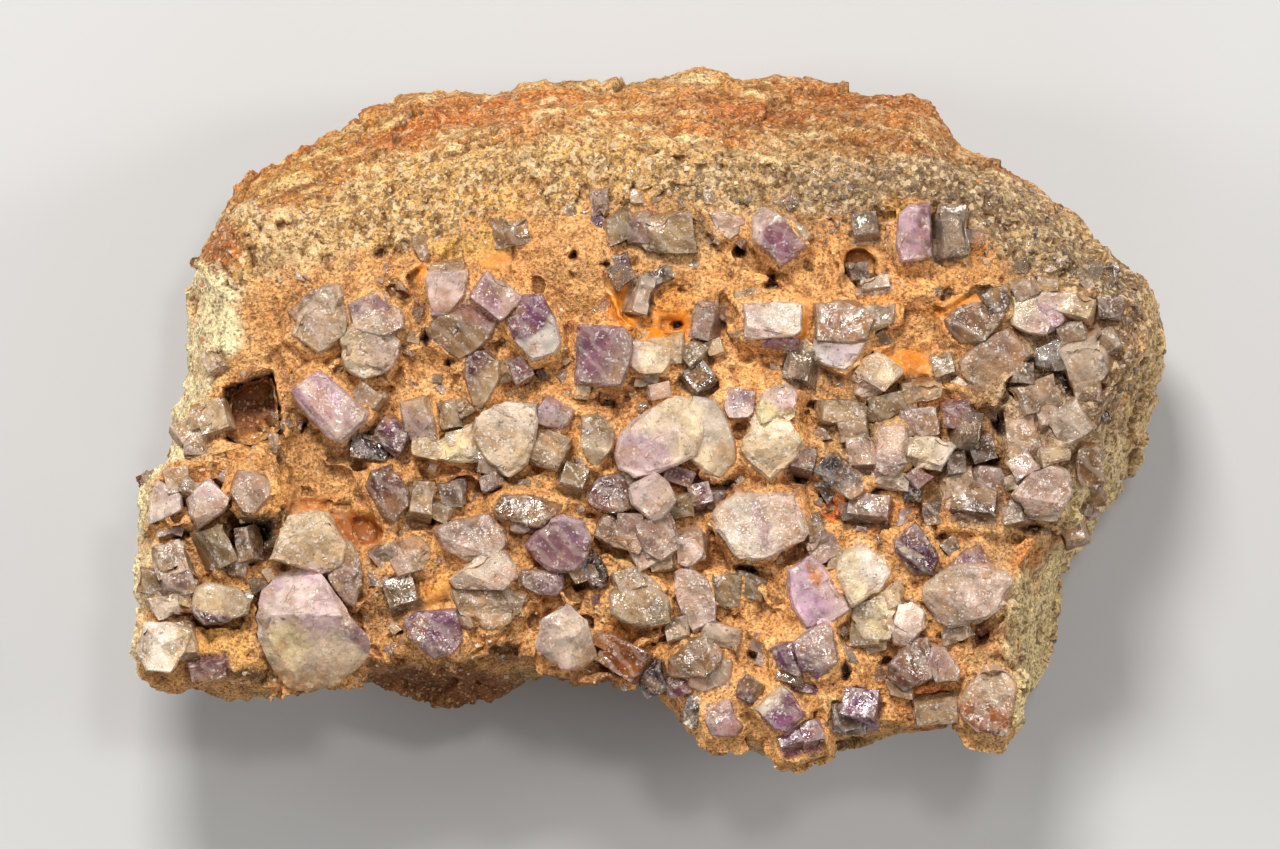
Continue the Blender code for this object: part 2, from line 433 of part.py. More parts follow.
def farthest_crossing(outline, angle):
    """How far the outline reaches from the middle, in one direction."""
    toward = Vector((math.cos(angle), math.sin(angle)))
    across = Vector((-toward.y, toward.x))
    reach = 0.0
    for here, there in zip(outline, outline[1:] + outline[:1]):
        start, end = Vector(here), Vector(there)
        side_start, side_end = start.dot(across), end.dot(across)
        if (side_start > 0) == (side_end > 0):
            continue
        crossing = start.lerp(end, side_start / (side_start - side_end))
        reach = max(reach, crossing.dot(toward))
    return reach


def flank_at(degrees):
    """Height of the widest line, fullness of the flank and share of the back in each direction."""
    directions = [row[0] for row in FLANKS]
    columns = ([row[place] for row in FLANKS] for place in (1, 2, 3))
    return [np.interp(degrees, directions, column, period=360) for column in columns]


def loft_slab():
    """The slab's rough body: rings from the resting outline to the widest line, the rim and the middle."""
    underside = np.linspace(0.0, 1.0, 9)
    flank = np.linspace(0.0, 1.0, 17)[1:]
    face = [0.75, 0.5, 0.25, 0.02]
    rings = []
    for step in range(DIRECTIONS):
        angle = 2 * math.pi * step / DIRECTIONS
        widest = farthest_crossing(OUTLINE, angle) + OUTLINE_ALLOWANCE
        rim = min(farthest_crossing(RIM, angle), widest - 0.4)
        height, fullness, back = flank_at(math.degrees(angle))
        column = []
        for share in underside:
            reach = widest * (back + (1 - back) * share ** 0.8)
            column.append((reach, height * share))
        for share in flank:
            reach = widest + (rim - widest) * share ** fullness
            column.append((reach, height + (FACE_HEIGHT - height) * share))
        for share in face:
            column.append((rim * share, FACE_HEIGHT))
        rings.append([(r * math.cos(angle), r * math.sin(angle), z) for r, z in column])
    levels = len(rings[0])
    points = [point for column in rings for point in column]
    faces = []
    for step in range(DIRECTIONS):
        beside = (step + 1) % DIRECTIONS
        for level in range(levels - 1):
            low, high = step * levels + level, beside * levels + level
            faces.append((low, high, high + 1, low + 1))
    faces.append([step * levels for step in reversed(range(DIRECTIONS))])
    faces.append([step * levels + levels - 1 for step in range(DIRECTIONS)])
    mesh = bpy.data.meshes.new("slab")
    mesh.from_pydata(points, [], faces)
    return new_object("fluorite_matrix", mesh)


def inside_rim(points):
    """How far each point lies inside (+) or outside (-) the edge of the crystal face."""
    corners = np.array(RIM)
    ends = np.roll(corners, -1, axis=0)
    nearest = np.full(len(points), 1e9)
    inside = np.zeros(len(points), bool)
    for start, end in zip(corners, ends):
        along = end - start
        share = np.clip(((points - start) @ along) / (along @ along), 0, 1)
        nearest = np.minimum(nearest, np.hypot(*(points - start - share[:, None] * along).T))
        spans = (start[1] > points[:, 1]) != (end[1] > points[:, 1])
        rise = along[1] if along[1] else 1e-9
        crossing = start[0] + (points[:, 1] - start[1]) / rise * along[0]
        inside ^= spans & (points[:, 0] < crossing)
    return np.where(inside, nearest, -nearest)


def face_relief(points):
    """Height of the crystal face's swells and thin walls at each point."""
    height = np.zeros(len(points))
    for x, y, radius, rise in SWELLS:
        far = np.hypot(points[:, 0] - x, points[:, 1] - y) / radius
        height += rise * np.exp(-1.6 * far ** 2)
    for start, end, width, rise in WALLS:
        start, end = np.array(start), np.array(end)
        along = end - start
        share = np.clip(((points - start) @ along) / (along @ along), 0, 1)
        far = np.hypot(*(points - start - share[:, None] * along).T) / width
        height += rise * np.exp(-far ** 4)
    return height


def rock_noise(point, size):
    """A facetted roughness between -1 and 1: smooth swells mixed with the steps of broken rock."""
    swell = noise.noise(point / size)
    cells = noise.voronoi(point / (size * 1.3))[0]
    return 0.5 * swell + 0.9 * (cells[1] - cells[0]) - 0.35


def roughen(slab):
    """Move the slab's points: relief of the crystal face, broken flanks, breaks at the back, flat base."""
    mesh = slab.data
    count = len(mesh.vertices)
    points = np.empty(count * 3)
    mesh.vertices.foreach_get("co", points)
    points = points.reshape(count, 3)
    normals = np.array([vertex.normal for vertex in mesh.vertices])
    depth = inside_rim(points[:, :2])
    on_face = np.clip(depth / 3.0 + 0.5, 0, 1) * (normals[:, 2] > 0.3)
    middle = np.array((0.0, 0.0, FACE_HEIGHT / 2))
    for direction, below, distance in BREAKS:
        turn, dip = math.radians(direction), math.radians(below)
        facing = np.array((math.cos(turn) * math.cos(dip), math.sin(turn) * math.cos(dip), -math.sin(dip)))
        beyond = np.clip((points - middle) @ facing - distance, 0, None)
        points -= 0.85 * beyond[:, None] * facing
    widest_height = flank_at(np.degrees(np.arctan2(points[:, 1], points[:, 0])))[0]
    from_widest = np.clip(np.abs(points[:, 2] - widest_height) / 9.0, 0.25, 1.0)
    shift = np.zeros(count)
    for index, point in enumerate(points):
        here = Vector(point)
        flank = (2.5 * rock_noise(here, 19.0) + 1.3 * rock_noise(here, 7.5)) * from_widest[index]
        face = 0.55 * rock_noise(here, 9.0) + 0.75 * rock_noise(here, 4.2)
        shift[index] = flank * (1 - on_face[index]) + face * on_face[index]
    points += normals * shift[:, None]
    points[:, 2] += face_relief(points[:, :2]) * on_face
    spread = np.hypot(points[:, 0] / 56, points[:, 1] / 38) * (normals[:, 2] < -0.4)
    points[:, 2] += BASE_RISE * np.clip(spread, 0, 1) ** 2
    points[:, 2] = np.maximum(points[:, 2], BASE_CUT)
    mesh.vertices.foreach_set("co", points.ravel())
    mesh.update()


def prism(outline, floor, top):
    """A straight-walled cutter over an outline, a little narrower at its floor."""
    made = bmesh.new()
    middle = Vector((sum(x for x, y in outline), sum(y for x, y in outline))) / len(outline)
    for x, y in outline:
        narrow = middle.lerp(Vector((x, y)), 0.72)
        made.verts.new((x, y, top))
        made.verts.new((narrow.x, narrow.y, floor))
    bmesh.ops.convex_hull(made, input=made.verts)
    bmesh.ops.recalc_face_normals(made, faces=made.faces)
    mesh = bpy.data.meshes.new("cutter")
    made.to_mesh(mesh)
    made.free()
    return new_object("cutter", mesh)


# ---------------------------------------------------------------- the crystals

def block_bmesh(block, grow=0.0):
    """A crystal as a bmesh, its faces moved outwards by grow."""
    top = FACE_HEIGHT + block.proud + float(face_relief(np.array([[block.x, block.y]]))[0]) * 0.6
    tall = block.proud + ROOT_DEPTH
    made = bmesh.new()
    bmesh.ops.create_cube(made, size=1.0)
    for vertex in made.verts:
        high = vertex.co.z > 0
        share = 1 - block.taper if high else 1 + block.taper * 0.5
        vertex.co.x *= block.wide * share + 2 * grow
        vertex.co.y *= block.deep * share + 2 * grow
        vertex.co.z = grow if high else -tall - grow
    for side_x, side_y, bite in block.chips:
        corner = Vector((side_x * block.wide / 2, side_y * block.deep / 2, 0.0)) * (1 - block.taper)
        facing = Vector((side_x, side_y, 1.0)).normalized()
        cut = corner - facing * (bite - grow)
        parts = made.verts[:] + made.edges[:] + made.faces[:]
        result = bmesh.ops.bisect_plane(made, geom=parts, plane_co=cut, plane_no=facing, clear_outer=True)
        edges = [part for part in result["geom_cut"] if isinstance(part, bmesh.types.BMEdge)]
        bmesh.ops.contextual_create(made, geom=edges)
    away = Vector((-math.sin(math.radians(block.toward)), math.cos(math.radians(block.toward)), 0.0))
    lean = Matrix.Rotation(math.radians(block.lean), 4, away)
    turn = Matrix.Rotation(math.radians(block.yaw), 4, "Z")
    bmesh.ops.transform(made, matrix=Matrix.Translation((block.x, block.y, top)) @ lean @ turn, verts=made.verts)
    bmesh.ops.recalc_face_normals(made, faces=made.faces)
    return made


def block_object(block, grow=0.0):
    made = block_bmesh(block, grow)
    mesh = bpy.data.meshes.new("block")
    made.to_mesh(mesh)
    made.free()
    return new_object("block", mesh)


def crystal_object(name, blocks, grow=0.0):
    """A crystal group: its blocks joined in one solid."""
    made = block_object(blocks[0], grow)
    made.name = name
    for block in blocks[1:]:
        combine(made, block_object(block, grow), "UNION")
    return made


def keep_largest(thing):
    """Drop crumbs that a cut left loose, and weld points closer than a hair."""
    made = bmesh.new()
    made.from_mesh(thing.data)
    bmesh.ops.remove_doubles(made, verts=made.verts, dist=WELD)
    bmesh.ops.dissolve_degenerate(made, edges=made.edges, dist=WELD)
    left = set(made.faces)
    shells = []
    while left:
        seed = left.pop()
        shell, front = {seed}, [seed]
        while front:
            for edge in front.pop().edges:
                for beside in edge.link_faces:
                    if beside in left and len(edge.link_faces) == 2:
                        left.discard(beside)
                        shell.add(beside)
                        front.append(beside)
        shells.append(shell)
    largest = max(shells, key=lambda shell: sum(face.calc_area() for face in shell))
    crumbs = [face for shell in shells if shell is not largest for face in shell]
    if crumbs:
        print(thing.name, "loses", len(crumbs), "faces in", len(shells) - 1, "crumbs")
    bmesh.ops.delete(made, geom=crumbs, context="FACES")
    bmesh.ops.triangulate(made, faces=made.faces)
    made.to_mesh(thing.data)
    made.free()


def reach(blocks):
    """The plan box of some blocks, with a margin for their lean."""
    sizes = [0.75 * (block.wide + block.deep) for block in blocks]
    xs = [(block.x - size, block.x + size) for block, size in zip(blocks, sizes)]
    ys = [(block.y - size, block.y + size) for block, size in zip(blocks, sizes)]
    return min(x[0] for x in xs), max(x[1] for x in xs), min(y[0] for y in ys), max(y[1] for y in ys)


def near(one, other):
    left, right, low, high = reach(one)
    left_2, right_2, low_2, high_2 = reach(other)
    return left < right_2 and left_2 < right and low < high_2 and low_2 < high


def make_crystals():
    made = {}
    for name, (tint, blocks) in CRYSTALS.items():
        crystal = crystal_object(name, blocks)
        for earlier in made:
            if near(blocks, CRYSTALS[earlier][1]):
                combine(crystal, crystal_object("gap", CRYSTALS[earlier][1], SOCKET_GAP), "DIFFERENCE")
        keep_largest(crystal)
        made[name] = crystal
    return made


def make_slab():
    slab = loft_slab()
    remesh = slab.modifiers.new("grain", "REMESH")
    remesh.mode = "VOXEL"
    remesh.voxel_size = VOXEL
    apply_modifiers(slab)
    roughen(slab)
    thin = slab.modifiers.new("thin", "DECIMATE")
    thin.ratio = SLAB_TRIANGLES / (2 * len(slab.data.polygons))
    apply_modifiers(slab)
    for vertex in slab.data.vertices:
        if vertex.co.z < BASE_CUT + FLAT_BAND:
            vertex.co.z = BASE_CUT
    for chip in CHIPS:
        combine(slab, block_object(chip), "UNION")
    for outline, depth in MOULDS:
        combine(slab, prism(outline, FACE_HEIGHT - depth, FACE_HEIGHT + 8), "DIFFERENCE")
    for name, (tint, blocks) in CRYSTALS.items():
        combine(slab, crystal_object("socket", blocks, SOCKET_GAP), "DIFFERENCE")
    keep_largest(slab)
    return slab


def settle(things):
    """Scale to metres and put the origin at the centre of the resting face."""
    corners = [vertex.co for thing in things for vertex in thing.data.vertices]
    low = [min(corner[axis] for corner in corners) for axis in range(3)]
    high = [max(corner[axis] for corner in corners) for axis in range(3)]
    middle = Vector(((low[0] + high[0]) / 2, (low[1] + high[1]) / 2, low[2]))
    for thing in things:
        thing.data.transform(Matrix.Scale(MM, 4) @ Matrix.Translation(-middle))
        thing.data.update()
    size = [(high[axis] - low[axis]) for axis in range(3)]
    print("size in mm:", [round(length, 2) for length in size], "middle:", [round(v, 3) for v in middle])


def main():
    clear_scene()
    slab = make_slab()
    slab.data.materials.clear()
    slab.data.materials.append(material("iron_stained_rock", SLAB_COLOUR, 0.85))
    crystals = make_crystals()
    for name, crystal in crystals.items():
        tint = CRYSTALS[name][0]
        crystal.data.materials.clear()
        crystal.data.materials.append(material(name + "_crystal", *TINTS[tint]))
    settle([slab, *crystals.values()])
    total = sum(len(thing.data.polygons) for thing in [slab, *crystals.values()])
    print("triangles:", len(slab.data.polygons), total)


main()
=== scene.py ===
"""The looks of a fluorite specimen: stained rock with crystals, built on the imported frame.

Places in the tables are in millimetres, in the plan of the crystal face: +X along the slab, +Y towards its
rusty broken edge. TABLE_ZERO is where the tables' zero lies in the frame.
"""

import math
from random import Random

import bmesh
import bpy
import numpy as np
from mathutils import Matrix, Vector, noise
from mathutils.bvhtree import BVHTree
from mathutils.geometry import convex_hull_2d
from mathutils.kdtree import KDTree


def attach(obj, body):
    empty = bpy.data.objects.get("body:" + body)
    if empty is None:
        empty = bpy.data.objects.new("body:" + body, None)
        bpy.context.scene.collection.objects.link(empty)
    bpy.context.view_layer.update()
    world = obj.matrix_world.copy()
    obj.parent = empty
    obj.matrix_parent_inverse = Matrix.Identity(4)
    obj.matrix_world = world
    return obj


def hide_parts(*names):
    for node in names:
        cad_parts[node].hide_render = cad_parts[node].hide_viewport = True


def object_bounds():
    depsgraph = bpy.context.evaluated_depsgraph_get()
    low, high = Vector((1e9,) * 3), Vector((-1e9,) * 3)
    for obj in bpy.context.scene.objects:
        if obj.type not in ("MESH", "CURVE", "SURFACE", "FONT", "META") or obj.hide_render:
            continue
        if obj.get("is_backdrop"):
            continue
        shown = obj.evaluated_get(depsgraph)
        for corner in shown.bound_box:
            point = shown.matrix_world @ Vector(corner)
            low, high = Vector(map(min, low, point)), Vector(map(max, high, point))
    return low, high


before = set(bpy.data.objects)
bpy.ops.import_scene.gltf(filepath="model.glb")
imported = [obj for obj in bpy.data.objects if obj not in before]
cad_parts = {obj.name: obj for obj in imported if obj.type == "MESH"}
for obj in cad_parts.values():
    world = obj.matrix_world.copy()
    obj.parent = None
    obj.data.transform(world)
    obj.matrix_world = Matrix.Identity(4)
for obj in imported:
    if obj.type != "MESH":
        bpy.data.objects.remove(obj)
CAD_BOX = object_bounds()

MM = 0.001
TABLE_ZERO = np.array((-0.34, 0.30))
FACE_LEVEL = 34.2  # height of the crystal face in the frame
RAY_START = 80.0  # height over everything, from which rays are cast down on the rock
DOWN = Vector((0, 0, -1))
SEED = 11

# The rock's mesh
GRAIN = 0.36  # size of its voxels
ROCK_TRIANGLES = 196000
PLUG_MARGIN = 0.8  # how far the rock reaches out round a crystal's root
CRUST_SHARE = 0.5  # part of a crystal's height that the rock climbs

# Crystals
EDGE_CUT = 0.12  # width of the worn flat along a crystal's edges
CRYSTAL_GRAIN = 0.68  # longest edge of a crystal's mesh
WEAR_REACH = 0.7  # how far in from its edges a crystal is chipped
FLUORITE_INDEX = 1.434  # its index of refraction
DUST_RISE = 1.3  # how far up a crystal's sides the clay clings

# Camera: it looks straight down on the crystal face
VIEW_CENTRE = (-1.25, -1.8)  # table place in the middle of the picture
VIEW_WIDTH = 160.0  # width of the crystal face's plane that the picture takes in
CAMERA_DISTANCE = 1200.0
SENSOR = 36.0


# ------------------------------------------------------------------ colours

def paint(red, green, blue):
    """A display colour, 0 to 255, as the linear colour that shaders use."""
    shares = np.array((red, green, blue)) / 255
    return np.where(shares <= 0.04045, shares / 12.92, ((shares + 0.055) / 1.055) ** 2.4)


CLAY = paint(214, 154, 92)
CLAY_PALE = paint(234, 188, 128)
CLAY_DEEP = paint(158, 98, 48)
ORANGE = paint(224, 132, 30)
RUST = paint(176, 88, 30)
RUST_BRIGHT = paint(206, 130, 60)
TAN_ROCK = paint(188, 132, 72)
CREAM_ROCK = paint(228, 198, 148)
BEIGE = paint(200, 155, 92)
GREY_ROCK = paint(170, 140, 98)
GREY_GREEN = paint(166, 138, 98)
GREEN_BEIGE = paint(192, 158, 108)
PALE_VEIN = paint(244, 212, 156)
SAND = paint(222, 178, 112)
PALE_FLANK = paint(206, 184, 132)
FLANK_CREAM = paint(234, 212, 164)
BROWN = paint(116, 66, 34)
DARK = paint(66, 48, 36)
BLACK = paint(30, 22, 18)
GREY_QUARTZ = paint(184, 158, 128)
SIDE_ROCK = paint(178, 138, 86)

CRYSTAL_COLOURS = {
    "lilac": paint(214, 176, 192),
    "lilac_pale": paint(232, 204, 196),
    "pink": paint(226, 194, 176),
    "mauve": paint(164, 118, 128),
    "violet": paint(142, 90, 126),
    "purple": paint(114, 64, 94),
    "dark_purple": paint(58, 32, 44),
    "blue_lilac": paint(186, 156, 166),
    "white": paint(246, 230, 214),
    "cream": paint(240, 214, 174),
    "yellow": paint(244, 222, 164),
    "beige": paint(208, 176, 136),
    "olive": paint(158, 128, 94),
    "green_grey": paint(180, 156, 118),
    "grey": paint(196, 170, 144),
    "grey_lilac": paint(188, 158, 148),
    "grey_dark": paint(124, 102, 88),
    "smoky": paint(60, 48, 44),
    "clear": paint(220, 202, 180),
    "orange": paint(208, 132, 58),
    "rust": paint(166, 96, 44),
    "amber": paint(172, 98, 34),
}

# Chips and small crystals on the rock: place, size, turn, lean, way it leans, height over the face, colour
CHIPS = [
    (18.5, 5.8, 3.4, 4.2, -12, 18, 140, 2.0, "clear"), (-28.4, -10.8, 2.8, 4.2, -6, 18, 60, 2.2, "beige"),
    (26.3, -5.1, 3.6, 3.8, 4, 12, 90, 2.2, "pink"), (40.2, -2.4, 2.7, 4.4, -6, 20, 20, 2.6, "clear"),
    (26.2, -36.4, 4.4, 3.8, -8, 20, 100, 2.0, "violet"), (-53.4, -17.0, 2.6, 5.0, 26, 26, 0, 2.6, "green_grey"),
    (-50.9, -16.8, 2.0, 4.4, 14, 20, 180, 1.8, "olive"), (-0.6, 14.4, 1.8, 4.8, -14, 16, 0, 2.2, "white"),
    (26.9, 23.3, 3.0, 2.8, 10, 14, 90, 1.8, "clear"), (28.0, 16.0, 3.8, 1.5, 8, 12, 90, 1.6, "white"),
    (6.5, 11.0, 2.6, 4.6, -14, 20, 180, 1.8, "grey_lilac"), (-54.8, -0.8, 3.8, 3.8, 20, 12, 140, 1.4, "cream"),
    (-54.8, 6.2, 2.2, 2.4, 30, 14, 150, 1.4, "cream"), (-57.0, -4.6, 2.6, 2.4, 10, 16, 170, 1.0, "beige"),
    (6.1, 4.5, 3.2, 3.4, 40, 22, 90, 1.6, "grey_dark"), (6.3, -10.4, 2.8, 2.6, 14, 14, 90, 2.0, "mauve"),
    (-9.4, -8.1, 3.0, 2.8, -20, 18, 60, 1.8, "green_grey"), (-55.2, -32.8, 4.6, 2.2, 8, 20, 270, 0.8, "mauve"),
    (-31.2, -22.4, 3.8, 3.8, 16, 18, 110, 1.6, "olive"), (27.3, -11.7, 5.2, 3.0, -8, 18, 90, 1.8, "grey_lilac"),
    (20.8, -15.2, 2.0, 2.4, 10, 14, 60, 1.8, "olive"), (0.2, -34.2, 3.2, 3.4, 20, 26, 250, 0.6, "dark_purple"),
    (35.8, -38.0, 5.4, 2.8, 6, 22, 270, 0.6, "beige"), (25.0, -39.2, 4.4, 3.0, -6, 24, 270, 0.4, "grey_dark"),
    (38.2, -6.4, 2.4, 3.0, 8, 16, 60, 1.6, "grey_dark"), (36.5, 5.8, 2.6, 2.6, 14, 16, 120, 1.4, "green_grey"),
    (38.2, 22.0, 3.4, 5.6, 6, 20, 20, 2.8, "clear"), (19.2, -5.9, 3.0, 2.8, -10, 14, 60, 2.0, "grey_lilac"),
]

